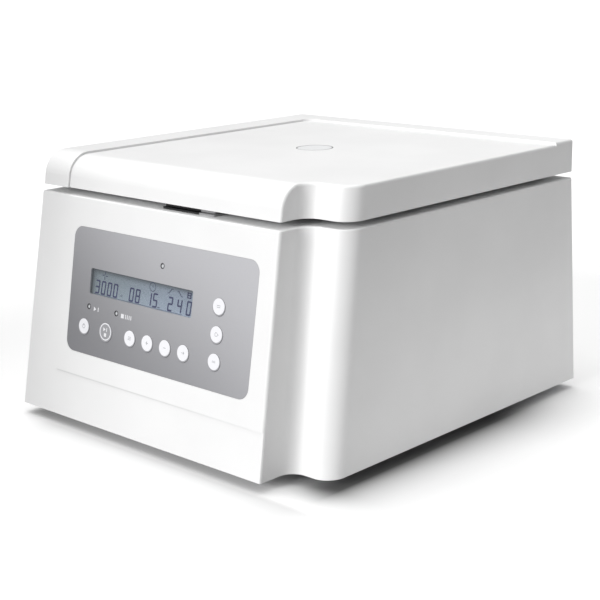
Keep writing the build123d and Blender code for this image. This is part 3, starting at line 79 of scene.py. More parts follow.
# %% Camera
CAMERA_PLACE = Vector((0.71874, -0.76902, 0.35619))
CAMERA_AZIMUTH, CAMERA_ELEVATION, CAMERA_ROLL = radians(43.187), radians(14.539), radians(-0.944)
CAMERA_LENS, SENSOR_WIDTH = 81.502, 36


def camera_turn(azimuth, elevation, roll):
    """The camera's right, up and backward directions as the columns of a matrix."""
    forward = Vector((-sin(azimuth) * cos(elevation), cos(azimuth) * cos(elevation), -sin(elevation)))
    level_right = Vector((cos(azimuth), sin(azimuth), 0))
    level_up = level_right.cross(forward)
    right = cos(roll) * level_right + sin(roll) * level_up
    up = cos(roll) * level_up - sin(roll) * level_right
    return Matrix((right, up, -forward)).transposed().to_4x4()


bpy.ops.object.camera_add()
camera = bpy.context.object
camera.name = "camera"
turn_of_camera = camera_turn(CAMERA_AZIMUTH, CAMERA_ELEVATION, CAMERA_ROLL)
camera.matrix_world = Matrix.Translation(CAMERA_PLACE) @ turn_of_camera
camera.data.lens = CAMERA_LENS
camera.data.sensor_width = SENSOR_WIDTH
bpy.context.scene.camera = camera
print("camera to object:", round(CAMERA_PLACE.length, 3), "m")

# %% [markdown]
# ## Sums on shader sockets
# Procedural finishes are sums of masks. Written node by node they take a page, so one small class
# wraps a socket: adding, multiplying or subtracting wires adds the Math nodes, and `1 - mask` works
# as it reads. Every other node comes from `node`, which takes its settings and what feeds its sockets.

# %% A wire that does sums
class Wire:
    """An output socket of a material's node tree."""

    def __init__(self, tree, socket=None):
        self.tree, self.socket = tree, socket

    def node(self, kind, settings=None, feeds=None, output=0):
        """Add one node, set it, feed its sockets with numbers or wires, and return one output."""
        made = self.tree.nodes.new(kind)
        for name, value in (settings or {}).items():
            setattr(made, name, value)
        for name, value in (feeds or {}).items():
            if isinstance(value, Wire):
                self.tree.links.new(value.socket, made.inputs[name])
            else:
                made.inputs[name].default_value = value
        return Wire(self.tree, made.outputs[output]) if made.outputs else None

    def sum(self, operation, first, second=0.0):
        return self.node("ShaderNodeMath", {"operation": operation}, {0: first, 1: second})

    def __add__(self, other):
        return self.sum("ADD", self, other)

    def __radd__(self, other):
        return self.sum("ADD", other, self)

    def __sub__(self, other):
        return self.sum("SUBTRACT", self, other)

    def __rsub__(self, other):
        return self.sum("SUBTRACT", other, self)

    def __mul__(self, other):
        return self.sum("MULTIPLY", self, other)

    def __rmul__(self, other):
        return self.sum("MULTIPLY", other, self)

    def __lt__(self, other):
        return self.sum("LESS_THAN", self, other)

    def fade(self, low, high):
        """0 below low, 1 above high and a smooth rise between them."""
        return self.node("ShaderNodeMapRange", {"interpolation_type": "SMOOTHSTEP"},
                         {"Value": self, "From Min": low, "From Max": high})


def object_place(wire):
    """Where the shaded point is, in the object's own metres."""
    return wire.node("ShaderNodeTexCoord", output="Object")


def split(place, axes):
    """The coordinates of a place along the named axes."""
    return [place.node("ShaderNodeSeparateXYZ", {}, {"Vector": place}, axis) for axis in axes]


def srgb(red, green, blue):
    """A colour as a paint chart gives it, made linear for the shader."""
    return tuple(c / 12.92 if c <= 0.04045 else ((c + 0.055) / 1.055) ** 2.4
                 for c in (red, green, blue))


# %% [markdown]
# A finish starts as one Principled shader. What is the same all over is set on the shader's own
# sockets, and what varies is fed in by wire: two tones of a colour mixed by a mask, a roughness, and
# a height that a Bump node turns into a normal.

# %% Start of every finish
def new_finish(name, **constants):
    """A material, its Principled shader, and a wire that adds nodes to it."""
    material = bpy.data.materials.new(name)
    material.use_nodes = True
    tree = material.node_tree
    shader = tree.nodes["Principled BSDF"]
    for socket, value in constants.items():
        shader.inputs[socket.replace("_", " ")].default_value = value
    return material, shader, Wire(tree)


def feed(shader, **wires):
    for socket, wire in wires.items():
        shader.id_data.links.new(wire.socket, shader.inputs[socket.replace("_", " ")])


def two_tone(wire, mask, low, high, blend="MIX"):
    """Colour that goes from low to high as the mask rises. Each is a colour or a wire."""
    low, high = (tone if isinstance(tone, Wire) else (*tone, 1) for tone in (low, high))
    return wire.node("ShaderNodeMix", {"data_type": "RGBA", "blend_type": blend},
                     {"Factor": mask, "A": low, "B": high}, 2)


def speckle(wire, scale, detail=2.0, roughness=0.5):
    """Soft noise in the object's own metres, scale in features per metre."""
    return wire.node("ShaderNodeTexNoise", {}, {
        "Vector": object_place(wire), "Scale": scale, "Detail": detail, "Roughness": roughness})


def bump(wire, height, distance, strength):
    """A normal that leans as the height says, over so many metres of relief."""
    return wire.node("ShaderNodeBump", {}, {
        "Height": height, "Distance": distance, "Strength": strength})


# %% [markdown]
# ## White moulding
# The housing and lid are injection-moulded and painted white: a satin skin with a grain too fine to
# see from a metre away, a trace of unevenness in its gloss, and a white that leans neither to blue
# nor to yellow. A fine noise drives the bump and a broad one the gloss. The front carries a raised
# field, less than a millimetre proud. Under its lower edge the housing's own finish darkens a thin
# line, most at the left: painted shade where the step meets the face.

# %% White moulding
MOULDED_WHITE, MOULDED_GLOSS = srgb(0.945, 0.945, 0.945), 0.42
SKIN_SHADE = 0.965
FIELD_LINE, FIELD_LEFT, FIELD_RIGHT, FIELD_FADES_FROM = 0.0421, -0.112, 0.112, -0.02
FIELD_PAINTED_SHADE, FIELD_STRENGTH, FRONT_ONLY = srgb(0.8, 0.8, 0.8), 0.5, -0.12


def under_the_field(wire):
    """Where painted shade lies: 1 along the lower edge of the raised field, fading to the right, and 0
    elsewhere.
    """
    across, deep, up = split(object_place(wire), "XYZ")
    line = 1 - wire.sum("ABSOLUTE", up - FIELD_LINE).fade(0.0002, 0.0009)
    starts = across.fade(FIELD_LEFT, FIELD_LEFT + 0.002)
    ends = across.fade(FIELD_FADES_FROM, FIELD_RIGHT)
    return line * starts * (1 - ends) * (deep < FRONT_ONLY)


def white_moulding(name, colour, roughness, line=None):
    material, shader, wire = new_finish(name, IOR=1.46)
    broad = speckle(wire, 14.0, 3.0)
    grain = speckle(wire, 1400.0, 2.0)
    skin = two_tone(wire, broad.fade(0.3, 0.7), tuple(SKIN_SHADE * c for c in colour), colour)
    # Painted shade: a thin darker line under the raised field's lower edge
    if line:
        skin = two_tone(wire, line(wire) * FIELD_STRENGTH, skin, FIELD_PAINTED_SHADE)
    feed(shader, Base_Color=skin, Roughness=roughness - 0.03 + broad * 0.06,
         Normal=bump(wire, grain, 0.00002, 0.35))
    return material


finishes = {
    "white_moulding": white_moulding("moulded_white", MOULDED_WHITE, MOULDED_GLOSS),
    "liner_plastic": white_moulding("moulded_light_grey", srgb(0.84, 0.845, 0.85), 0.5),
    "port_plastic": white_moulding("port_white", srgb(0.95, 0.955, 0.96), 0.25),
}
housing_finish = white_moulding("housing_white", MOULDED_WHITE, MOULDED_GLOSS, under_the_field)
print("moulded finishes:", len(finishes) + 1)

# %% [markdown]
# ## Black plastic and rubber
# The latch, the mains inlet and the knob are black nylon with a fine grain. Rubber is duller and picks
# up a grey bloom of dust, so its mask lifts the colour a little where the noise is high. The catch
# and the plate under it are black where they show in the gap, and their right ends carry painted
# shade: the grey that the moulding takes on in the shade there.

# %% Black plastic and rubber
def dark_plastic(name, colour, roughness, bloom, grain_scale):
    material, shader, wire = new_finish(name, IOR=1.5)
    cloud = speckle(wire, 60.0, 4.0, 0.6)
    grain = speckle(wire, grain_scale, 2.0)
    feed(shader, Base_Color=two_tone(wire, cloud.fade(0.45, 0.8), colour, bloom),
         Roughness=roughness + cloud * 0.08,
         Normal=bump(wire, grain, 0.00003, 0.5))
    return material


NYLON, NYLON_BLOOM = srgb(0.10, 0.10, 0.105), srgb(0.14, 0.14, 0.145)
RUBBER, RUBBER_BLOOM = srgb(0.12, 0.12, 0.12), srgb(0.2, 0.2, 0.2)
finishes["black_plastic"] = dark_plastic("black_nylon", NYLON, 0.36, NYLON_BLOOM, 1800.0)
finishes["black_rubber"] = dark_plastic("black_rubber", RUBBER, 0.7, RUBBER_BLOOM, 900.0)
LATCH_DARK_END, LATCH_PAINTED_SHADE = 0.0262, srgb(0.6, 0.6, 0.605)


def latch_plastic(name):
    """Black nylon up to LATCH_DARK_END, and painted shade beyond it: the grey of the shaded moulding."""
    material, shader, wire = new_finish(name, IOR=1.5)
    across, = split(object_place(wire), "X")
    # Painted shade: the right end is as grey as the shaded moulding in the gap
    grey = across.fade(LATCH_DARK_END - 0.0001, LATCH_DARK_END + 0.0001)
    feed(shader, Base_Color=two_tone(wire, grey, NYLON, LATCH_PAINTED_SHADE),
         Roughness=0.38 + grey * 0.06, Normal=bump(wire, speckle(wire, 1600.0), 0.00003, 0.5))
    return material


latch_finish = latch_plastic("latch_nylon")
print("dark finishes made")

# %% [markdown]
# ## Metals
# Sheet steel is zinc plated and shows soft spangles; drawn and turned parts show fine rings about
# their axis. Rings come from a Wave texture on the distance from the axis, so a Mapping node first
# moves the pattern's centre on to the rotor's axis. Cast aluminium is only speckled.

# %% Metals
ROTOR_AXIS = Vector((0.005, 0.011, 0.0))


def sheet_metal(name, low, high, roughness, scale):
    material, shader, wire = new_finish(name, Metallic=1.0)
    spangle = speckle(wire, scale, 5.0, 0.65)
    feed(shader, Base_Color=two_tone(wire, spangle.fade(0.35, 0.65), low, high),
         Roughness=roughness + spangle * 0.14,
         Normal=bump(wire, speckle(wire, 1200.0), 0.00001, 0.3))
    return material


def turned_metal(name, low, high, roughness, rings):
    material, shader, wire = new_finish(name, Metallic=1.0)
    centred = wire.node("ShaderNodeMapping", {}, {
        "Vector": object_place(wire), "Location": -ROTOR_AXIS})
    wave = wire.node("ShaderNodeTexWave", {"wave_type": "RINGS", "rings_direction": "Z"}, {
        "Vector": centred, "Scale": rings, "Distortion": 1.2, "Detail": 2.0, "Detail Scale": 3.0})
    feed(shader, Base_Color=two_tone(wire, wave, low, high),
         Roughness=roughness + wave * 0.08,
         Normal=bump(wire, wave, 0.00001, 0.25))
    return material


# Each metal: the finish's name, its dark and pale tones, its roughness, and the size of its pattern
SHEET_METALS = {
    "zinc_steel": ("zinc_plated_steel", srgb(0.66, 0.67, 0.68), srgb(0.76, 0.77, 0.78), 0.34, 90.0),
    "core_steel": ("core_steel", srgb(0.26, 0.25, 0.25), srgb(0.34, 0.33, 0.33), 0.5, 220.0),
    "cast_aluminium": ("cast_aluminium", srgb(0.66, 0.67, 0.68), srgb(0.74, 0.75, 0.76), 0.48, 350.0),
    "contact_brass": ("contact_brass", srgb(0.74, 0.6, 0.3), srgb(0.83, 0.7, 0.4), 0.28, 300.0),
}
TURNED_METALS = {
    "stainless_steel": ("drawn_stainless", srgb(0.7, 0.7, 0.7), srgb(0.78, 0.78, 0.77), 0.24, 180.0),
    "bearing_steel": ("ground_steel", srgb(0.62, 0.62, 0.63), srgb(0.72, 0.72, 0.73), 0.2, 400.0),
    "sleeve_steel": ("sleeve_steel", srgb(0.74, 0.74, 0.74), srgb(0.82, 0.82, 0.82), 0.22, 260.0),
    "rotor_aluminium": ("anodised_rotor", srgb(0.58, 0.6, 0.62), srgb(0.66, 0.68, 0.7), 0.33, 320.0),
}
for metal, recipe in SHEET_METALS.items():
    finishes[metal] = sheet_metal(*recipe)
for metal, recipe in TURNED_METALS.items():
    finishes[metal] = turned_metal(*recipe)
print("metal finishes made, total:", len(finishes))

# %% [markdown]
# ## Panel film
# The key panel is a polyester film with a metallic grey print. Its colour slopes along the panel,
# darker at its lower left and lighter at its upper right: a painted reflection of the light on the
# metallic film. Under it tiny flakes vary the gloss. The slope reads the panel's own metres, so it
# stays put when the camera moves.

# %% Panel film
panel_low, panel_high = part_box("control_panel")
PANEL_DARK, PANEL_PALE, FLAKE_SHARE = srgb(0.575, 0.575, 0.59), srgb(0.80, 0.80, 0.815), 0.12


def along_panel(wire):
    """0 at the panel's lower left corner and 1 at its upper right."""
    across, upward = split(object_place(wire), "XZ")
    wide, tall = panel_high.x - panel_low.x, panel_high.z - panel_low.z
    return (across - panel_low.x) * (0.5 / wide) + (upward - panel_low.z) * (0.5 / tall)


def panel_film(name):
    material, shader, wire = new_finish(name, Metallic=0.35, IOR=1.5)
    # Painted reflection: darker at the lower left, lighter at the upper right
    slope = along_panel(wire).fade(0.0, 1.0)
    flakes = speckle(wire, 2600.0, 1.0)
    colour = two_tone(wire, slope, PANEL_DARK, PANEL_PALE)
    flake_grey = wire.node("ShaderNodeCombineColor", {}, {
        "Red": flakes + 0.5, "Green": flakes + 0.5, "Blue": flakes + 0.5})
    glint = two_tone(wire, FLAKE_SHARE, colour, flake_grey, "MULTIPLY")
    feed(shader, Base_Color=glint, Roughness=0.36 + flakes * 0.1,
         Normal=bump(wire, flakes, 0.000006, 0.2))
    return material


finishes["panel_film"] = panel_film("metallic_grey_film")
print("panel width in mm:", round(1000 * (panel_high.x - panel_low.x), 1))

# %% [markdown]
# ## Display
# A reflective liquid-crystal display is a blue-grey mirror behind a clear pane. The pane is nearly
# all transparent with a glossy face, which Alpha gives. The glass behind it shades from a cool grey
# at its left to a paler blue at its right. Along the top and the left a painted shadow of its deep
# frame darkens it, on top of the real shadow that the frame casts.

# %% Display glass and its pane
display_low, display_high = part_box("display_window")
GLASS_LEFT, GLASS_RIGHT = srgb(0.55, 0.60, 0.63), srgb(0.61, 0.66, 0.73)
FRAME_PAINTED_SHADOW = srgb(0.25, 0.28, 0.30)


def liquid_crystal(name):
    material, shader, wire = new_finish(name, IOR=1.5)
    across, upward = split(object_place(wire), "XZ")
    slope = across.fade(display_low.x, display_high.x)
    # Painted shadow of the deep frame along the left and the top
    off_side = across.fade(display_low.x - 0.001, display_low.x + 0.009)
    near_top = upward.fade(display_high.z - 0.0065, display_high.z - 0.0005)
    grain = speckle(wire, 3000.0, 1.0)
    pale = two_tone(wire, slope, GLASS_LEFT, GLASS_RIGHT)
    shaded = two_tone(wire, 1 - off_side * (1 - near_top), pale, FRAME_PAINTED_SHADOW)
    feed(shader, Base_Color=shaded, Roughness=0.3 + grain * 0.05)
    return material


def clear_pane(name):
    material, shader, wire = new_finish(name, IOR=1.49, Alpha=0.07)
    film = speckle(wire, 25.0, 3.0)
    feed(shader, Base_Color=two_tone(wire, film, srgb(0.85, 0.89, 0.93), srgb(0.92, 0.95, 0.98)),
         Roughness=0.04 + film * 0.05)
    return material


finishes["display_glass"] = liquid_crystal("liquid_crystal")
finishes["display_lens"] = clear_pane("clear_pane")
NAVY, NAVY_BLOOM = srgb(0.05, 0.07, 0.28), srgb(0.09, 0.11, 0.34)
SLATE, SLATE_BLOOM = srgb(0.2, 0.24, 0.34), srgb(0.26, 0.3, 0.4)
finishes["segment_ink"] = dark_plastic("segment_navy", NAVY, 0.4, NAVY_BLOOM, 2000.0)
finishes["icon_ink"] = dark_plastic("icon_slate", SLATE, 0.4, SLATE_BLOOM, 2000.0)
print("display finishes made")

# %% [markdown]
# ## Keys
# The keys are round caps of the panel's film. Eight have a white disc printed nearly to the rim. The
# start key has a white ring instead. Disc and ring are bands of distance from the key's own centre,
# measured in the leaning face, so every key has its own copy of the finish.

# %% Keys
KEY_NODES = [name for name in frame["nodes"] if "key_" in name and name != "key_switches"] + ["start_key"]


def middle(node):
    low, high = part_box(node)
    return (low + high) / 2


def printed(name, colour):
    material, shader, wire = new_finish(name, IOR=1.5)
    cloud = speckle(wire, 300.0, 2.0)
    feed(shader, Base_Color=two_tone(wire, cloud, tuple(0.96 * c for c in colour), colour),
         Roughness=0.32 + cloud * 0.06, Normal=bump(wire, speckle(wire, 2000.0), 0.00001, 0.2))
    return material


LEAN = atan(29 / 168)
FACE_OUT = Vector((0, -cos(LEAN), sin(LEAN)))
FACE_UP = Vector((0, sin(LEAN), cos(LEAN)))
KEY_GREY, KEY_WHITE, PRINT_SOFT = srgb(0.62, 0.62, 0.635), srgb(0.94, 0.94, 0.955), 0.00012


def vector_sum(wire, operation, result, *vectors):
    """A sum on whole vectors, with the name of the result that is wanted."""
    return wire.node("ShaderNodeVectorMath", {"operation": operation},
                     dict(enumerate(vectors)), result)


def key_face(name, centre, inner, outer):
    """Panel grey with white between two radii about the key's centre."""
    material, shader, wire = new_finish(name, IOR=1.5)
    away = vector_sum(wire, "SUBTRACT", "Vector", object_place(wire), centre)
    depth = vector_sum(wire, "DOT_PRODUCT", "Value", away, FACE_OUT)
    length = vector_sum(wire, "LENGTH", "Value", away)
    radius = wire.sum("SQRT", length * length - depth * depth)
    white = 1 - radius.fade(outer - PRINT_SOFT, outer + PRINT_SOFT)
    if inner:
        white = white * radius.fade(inner - PRINT_SOFT, inner + PRINT_SOFT)
    feed(shader, Base_Color=two_tone(wire, white, KEY_GREY, KEY_WHITE),
         Roughness=0.34 + speckle(wire, 300.0) * 0.06)
    return material


DISC_RADIUS, RING_RADII, PRINT_SHIFT = 0.0057, (0.0057, 0.0065), 0.00055
SMOKE, SMOKE_BLOOM = srgb(0.78, 0.79, 0.80), srgb(0.84, 0.85, 0.86)
finishes["print_grey"] = printed("print_grey", srgb(0.62, 0.63, 0.65))
finishes["print_white"] = printed("print_white", srgb(0.92, 0.92, 0.93))
finishes["lamp_plastic"] = dark_plastic("lamp_smoke", SMOKE, 0.2, SMOKE_BLOOM, 1500.0)


def print_middle(node):
    """The middle of a key's print, a little above the middle of its cap."""
    return middle(node) + PRINT_SHIFT * FACE_UP


key_finishes = {name: key_face(name + "_film", print_middle(name), 0, DISC_RADIUS)
                for name in KEY_NODES}
key_finishes["start_key"] = key_face("start_key_ring", print_middle("start_key"), *RING_RADII)
print("keys:", len(KEY_NODES))

# %% [markdown]
# ## Circuit boards
# Under the covers are green boards. A Voronoi texture with straight cells stands for copper traces
# under the solder mask, a shade lighter than the rest.

# %% Circuit boards
def circuit_board(name):
    material, shader, wire = new_finish(name, IOR=1.5)
    cells = wire.node("ShaderNodeTexVoronoi", {"distance": "MANHATTAN", "feature": "F1"},
                      {"Vector": object_place(wire), "Scale": 160.0})
    traces = cells.fade(0.42, 0.46)
    feed(shader, Base_Color=two_tone(wire, traces, srgb(0.06, 0.3, 0.16), srgb(0.12, 0.42, 0.24)),
         Roughness=0.38 - traces * 0.08, Normal=bump(wire, traces, 0.00004, 0.5))
    return material


finishes["circuit_board"] = circuit_board("solder_mask_green")

# %% [markdown]
# ## Finishes on the CAD nodes
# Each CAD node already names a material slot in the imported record. Replacing the material in the
# node's own slot keeps the mesh as it is and gives every node a finish of the right family. The
# keys and the latch have finishes of their own, and so has the housing's shown copy further on.

# %% Finishes on the CAD nodes
slot_of = {part["node"]: part["material_slot"] for part in frame["record"]["subparts"]}
own_finishes = {**key_finishes, "lid_catch": latch_finish, "latch_escutcheon": latch_finish}
for name, node in frame["nodes"].items():
    finish = own_finishes.get(name) or finishes[slot_of[name]]
    if not node.material_slots:
        node.data.materials.append(finish)
    for slot in node.material_slots:
        slot.material = finish
print("finished nodes:", len(slot_of))

# %% [markdown]
# ## A drawing board on the leaning front
# Everything printed on the panel is drawn flat, in millimetres from the foot of the front face: u to
# the right, v up the face and w out of it. One matrix carries a flat mesh on to the face, so that a
# piece's place is in its mesh and its object stays at the origin.

# %% The drawing board
FRONT_Y, FIELD_PROUD, FOOT_Z = -0.168, 0.0008, 0.008
INK_THICK, RING_SIDES = 0.00006, 48
FACE_FOOT = Vector((0, FRONT_Y - FIELD_PROUD / cos(LEAN), FOOT_Z))
FACE_TURN = Matrix((Vector((1, 0, 0)), FACE_UP, FACE_OUT)).transposed().to_4x4()
FACE = Matrix.Translation(FACE_FOOT) @ FACE_TURN


def on_face(u, v, w):
    """The matrix that moves a flat mesh, drawn in metres about its centre, to a place on the face."""
    return FACE @ Matrix.Translation(Vector((u, v, w)) / 1000)


def pick_none():
    """Leave edit mode and deselect everything."""
    if bpy.context.object and bpy.context.object.mode != "OBJECT":
        bpy.ops.object.mode_set(mode="OBJECT")
    bpy.ops.object.select_all(action="DESELECT")


def settle(piece, matrix):
    """Put the place into the mesh and leave the object at the origin, unturned and unscaled."""
    piece.data.transform(matrix @ piece.matrix_basis)
    piece.matrix_basis = Matrix.Identity(4)
    return piece


def joined(pieces, name):
    """One object made of several."""
    pick_none()
    for piece in pieces:
        piece.select_set(True)
    bpy.context.view_layer.objects.active = pieces[0]
    if len(pieces) > 1:
        bpy.ops.object.join()
    whole = bpy.context.object
    whole.name = name
    pick_none()
    return whole


def twin(piece):
    """A copy with its own mesh."""
    copy = piece.copy()
    copy.data = piece.data.copy()
    bpy.context.collection.objects.link(copy)
    return copy


def dressed(piece, finish, body):
    """The piece with its finish, riding its body."""
    piece.data.materials.clear()
    piece.data.materials.append(finish)
    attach(piece, body)
    return piece


def bar(width, height, point=0.0):
    """A flat bar about the origin. With a point, its two ends taper like a display segment's."""
    pick_none()
    bpy.ops.mesh.primitive_cube_add(size=1)
    made = bpy.context.object
    made.scale = (width, height, INK_THICK)
    settle(made, Matrix.Identity(4))
    bpy.ops.object.mode_set(mode="EDIT")
    bpy.ops.mesh.select_all(action="SELECT")
    bpy.ops.mesh.subdivide(number_cuts=1)
    bpy.ops.object.mode_set(mode="OBJECT")
    if point:
        for vertex in made.data.vertices:
            if abs(vertex.co.y) > height * 0.4 and abs(vertex.co.x) > width * 0.4:
                vertex.co.x *= 1 - 2 * point / width
    return made


def ring(radius, line, thick=INK_THICK):
    """A flat ring about the origin: a torus whose section has four corners, flattened."""
    pick_none()
    bpy.ops.mesh.primitive_torus_add(major_segments=RING_SIDES, minor_segments=4,
                                     major_radius=radius, minor_radius=line / 2)
    made = bpy.context.object
    made.data.transform(Matrix.Diagonal((1, 1, thick / line, 1)))
    return made


# %% [markdown]
# ## Housing
# At the right front corner the CAD housing has a rib that runs on through the flute's wall, where the
# real moulding is smooth. Its shown copy has the rib's end cut off: the ten triangles that stand in
# the open flute go, and one face closes the hole that they leave in the wall. Merging the copy's loose
# triangles loses their normals, so the sharp edges are taken from these first, and weighted normals
# then keep the broad faces flat beside the rounded edges.

# %% Housing without the rib's end
RIB_LOW, RIB_HIGH = Vector((0.1141, -0.1516, 0.0179)), Vector((0.1481, -0.1484, 0.0381))
SAME_POINT = 1e-6


def on_rib(corner):
    """Whether a corner lies in the small box that holds the rib's open end."""
    return all(low < place < high for low, place, high in zip(RIB_LOW, corner, RIB_HIGH))


source = frame["nodes"]["main_housing"]
housing = bpy.data.objects.new("housing_shell", source.data.copy())
bpy.context.collection.objects.link(housing)
housing.data.transform(source.matrix_world)
pick_none()
housing.select_set(True)
bpy.context.view_layer.objects.active = housing
bpy.ops.object.mode_set(mode="EDIT")
bpy.ops.mesh.select_mode(type="FACE")
bpy.ops.mesh.select_all(action="SELECT")
bpy.ops.mesh.remove_doubles(threshold=SAME_POINT, use_sharp_edge_from_normals=True)
bpy.ops.mesh.select_all(action="DESELECT")
bpy.ops.object.mode_set(mode="OBJECT")
corners = housing.data.vertices
for face in housing.data.polygons:
    face.select = all(on_rib(corners[index].co) for index in face.vertices)
picked = sum(face.select for face in housing.data.polygons)
bpy.ops.object.mode_set(mode="EDIT")
bpy.ops.mesh.delete(type="FACE")
bpy.ops.mesh.select_mode(type="EDGE")
bpy.ops.mesh.select_non_manifold()
bpy.ops.mesh.edge_face_add()
bpy.ops.mesh.normals_make_consistent(inside=False)
bpy.ops.object.mode_set(mode="OBJECT")
bpy.ops.mesh.customdata_custom_splitnormals_clear()
bpy.ops.object.modifier_add(type="WEIGHTED_NORMAL")
housing.modifiers[0].keep_sharp = True
bpy.ops.object.modifier_apply(modifier=housing.modifiers[0].name)
dressed(housing, housing_finish, "base")
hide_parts("main_housing")
print("rib triangles taken off:", picked)

# %% [markdown]
# ## Painted shadow round the sight window
# A thin dark line round the window in the lid is painted shadow of the gap there. A torus, flattened,
# lies on the seam between the window and the lid and moves with the lid.

# %% Painted shadow round the window
GAP_SHADOW_RADIUS, GAP_SHADOW_LINE, GAP_SHADOW_THICK = 0.0142, 0.0006, 0.00012
window_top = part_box("sight_window")[1].z
window_place = middle("sight_window")
# Painted shadow: a dark flat ring on the seam round the window
gap_shadow = ring(GAP_SHADOW_RADIUS, GAP_SHADOW_LINE, GAP_SHADOW_THICK)
settle(gap_shadow, Matrix.Translation((window_place.x, window_place.y, window_top)))
gap_shadow.name = "window_gap_shadow"
dressed(gap_shadow, finishes["black_rubber"], "lid")
print("seal at z", round(window_top, 4))

# %% [markdown]
# ## Digits
# A display digit has seven bars. One lying bar with pointed ends is modelled, and every lit bar of
# every digit is a copy of it, turned upright where needed and set beside its neighbours with a thin
# gap. A slight slant makes the digits lean to the right as on most instrument displays.

# %% Digits
SEGMENTS = {"0": "abcdef", "1": "bc", "2": "abged", "3": "abgcd", "4": "fgbc", "5": "afgcd",
            "8": "abcdefg"}
DIGIT_WIDTH, DIGIT_HEIGHT, DIGIT_LINE, DIGIT_GAP = 0.0051, 0.0106, 0.00128, 0.0002
DIGIT_POINT = DIGIT_LINE * 0.45
SLANT = Matrix(((1, 0.09, 0, 0), (0, 1, 0, 0), (0, 0, 1, 0), (0, 0, 0, 1)))
DISPLAY_W = -2.04

lying = bar(DIGIT_WIDTH - DIGIT_GAP, DIGIT_LINE, DIGIT_POINT)
upright = bar(DIGIT_HEIGHT / 2 - DIGIT_GAP, DIGIT_LINE, DIGIT_POINT)
upright.data.transform(Matrix.Rotation(pi / 2, 4, "Z"))
half_w, half_h = (DIGIT_WIDTH - DIGIT_LINE) / 2, (DIGIT_HEIGHT - DIGIT_LINE) / 2
BAR_PLACES = {"a": (lying, 0, half_h), "g": (lying, 0, 0), "d": (lying, 0, -half_h),
              "b": (upright, half_w, half_h / 2), "c": (upright, half_w, -half_h / 2),
              "f": (upright, -half_w, half_h / 2), "e": (upright, -half_w, -half_h / 2)}


def digits(text, u, pitch, name):
    """A row of digits whose first centre is at u on the face."""
    bars = []
    for number, character in enumerate(text):
        for letter in SEGMENTS[character]:
            pattern, x, y = BAR_PLACES[letter]
            copy = twin(pattern)
            place = on_face(u + number * pitch, DIGIT_V, DISPLAY_W)
            copy.data.transform(place @ SLANT @ Matrix.Translation((x, y, 0)))
            bars.append(copy)
    return dressed(joined(bars, name), finishes["segment_ink"], "base")


DIGIT_V = 105.5
# Each group: its digits, the first one's place, the distance to the next, and the piece's name
READINGS = [("3000", -72.1, 7.0, "digits_speed"), ("08", -32.8, 6.9, "digits_program"),
            ("15", -13.2, 6.5, "digits_minutes"), ("240", 9.6, 9.8, "digits_force")]
for reading in READINGS:
    digits(*reading)
for pattern in (lying, upright):
    bpy.data.objects.remove(pattern)
print("digit groups:", len(READINGS))

# %% [markdown]
# ## Small icons on the display
# Above the digits are a rotor mark of four strokes, a clock ring with its two hands, a rising and a
# falling line with level flags, and a small box with two windows. Below them are three small unit
# marks and a thin line along the foot. They are thin strokes, each a bar or ring of its own, joined
# into two pieces, because the box has the darker ink of the digits.

# %% Small icons on the display
def stroke(width, height, u, v, turn=0.0, w=DISPLAY_W):
    """A thin bar, all in millimetres and degrees."""
    made = bar(width / 1000, height / 1000)
    return settle(made, on_face(u, v, w) @ Matrix.Rotation(radians(turn), 4, "Z"))


def loop(radius, line, u, v, w=DISPLAY_W):
    """A thin ring, all in millimetres."""
    made = ring(radius / 1000, line / 1000)
    return settle(made, on_face(u, v, w))


def ramp(u, v, turn):
    """A slanted line with a short level flag at each end."""
    reach = RAMP_LENGTH / 2 * cos(radians(turn)), RAMP_LENGTH / 2 * sin(radians(turn))
    return [stroke(RAMP_LENGTH, 0.75, u, v, turn), stroke(1.5, 0.6, u - reach[0] - 0.7, v - reach[1]),
            stroke(1.5, 0.6, u + reach[0] + 0.7, v + reach[1])]


ICON_V, RAMP_LENGTH = 114.8, 4.4
ROTOR_U, CLOCK_U, RISE_U, FALL_U, BOX_U = -64.4, -10.4, 8.8, 19.1, 28.7
ROTOR_SPREAD, ROTOR_TWIST = 1.9, 12
icons = [stroke(2.3, 0.85, ROTOR_U + ROTOR_SPREAD * cos(radians(turn)),
                ICON_V + ROTOR_SPREAD * sin(radians(turn)), turn + ROTOR_TWIST)
         for turn in (-5, 85, 175, 265)]
icons += [loop(3.2, 0.6, CLOCK_U, ICON_V)]
icons += [stroke(1.7, 0.45, CLOCK_U, ICON_V + 0.8, 90), stroke(1.5, 0.45, CLOCK_U + 0.7, ICON_V)]
icons += ramp(RISE_U, ICON_V, 48) + ramp(FALL_U, ICON_V - 0.6, -48)
# Unit marks and the line along the foot: width, height, place across, and drop below the digits' middle
icons += [stroke(width, height, u, DIGIT_V - drop) for width, height, u, drop in (
    (0.8, 0.7, -45.1, 2.8), (0.8, 1.4, -43.5, 2.5), (2.4, 0.7, -2.4, 4.6), (98.0, 0.3, -26.5, 5.7))]
dressed(joined(icons, "display_icons"), finishes["icon_ink"], "base")
BOX_V = ICON_V - 0.2
box_strokes = [stroke(4.2, 0.85, BOX_U, BOX_V + rise) for rise in (-1.75, 0.0, 1.75)]
box_strokes += [stroke(4.3, 1.1, BOX_U + side, BOX_V, 90) for side in (-1.6, 1.6)]
icon_count = len(icons) + len(box_strokes)
dressed(joined(box_strokes, "display_box"), finishes["segment_ink"], "base")
print("icon strokes:", icon_count)

# %% [markdown]
# ## Print and painted shadow beside the lamps
# The two lower lamps are labelled on the panel. Plain marks in white print do that here: a triangle
# for running and a square for stopped, each with short bars. Each of the three lamps also gets a thin
# dark ring, set a little up and to the right: painted shadow of the lamp's recess, which makes the lamp
# as large as it looks on the real panel.

# %% Print beside the lamps
PRINT_W, INSET_SHARE = 0.02, 0.1


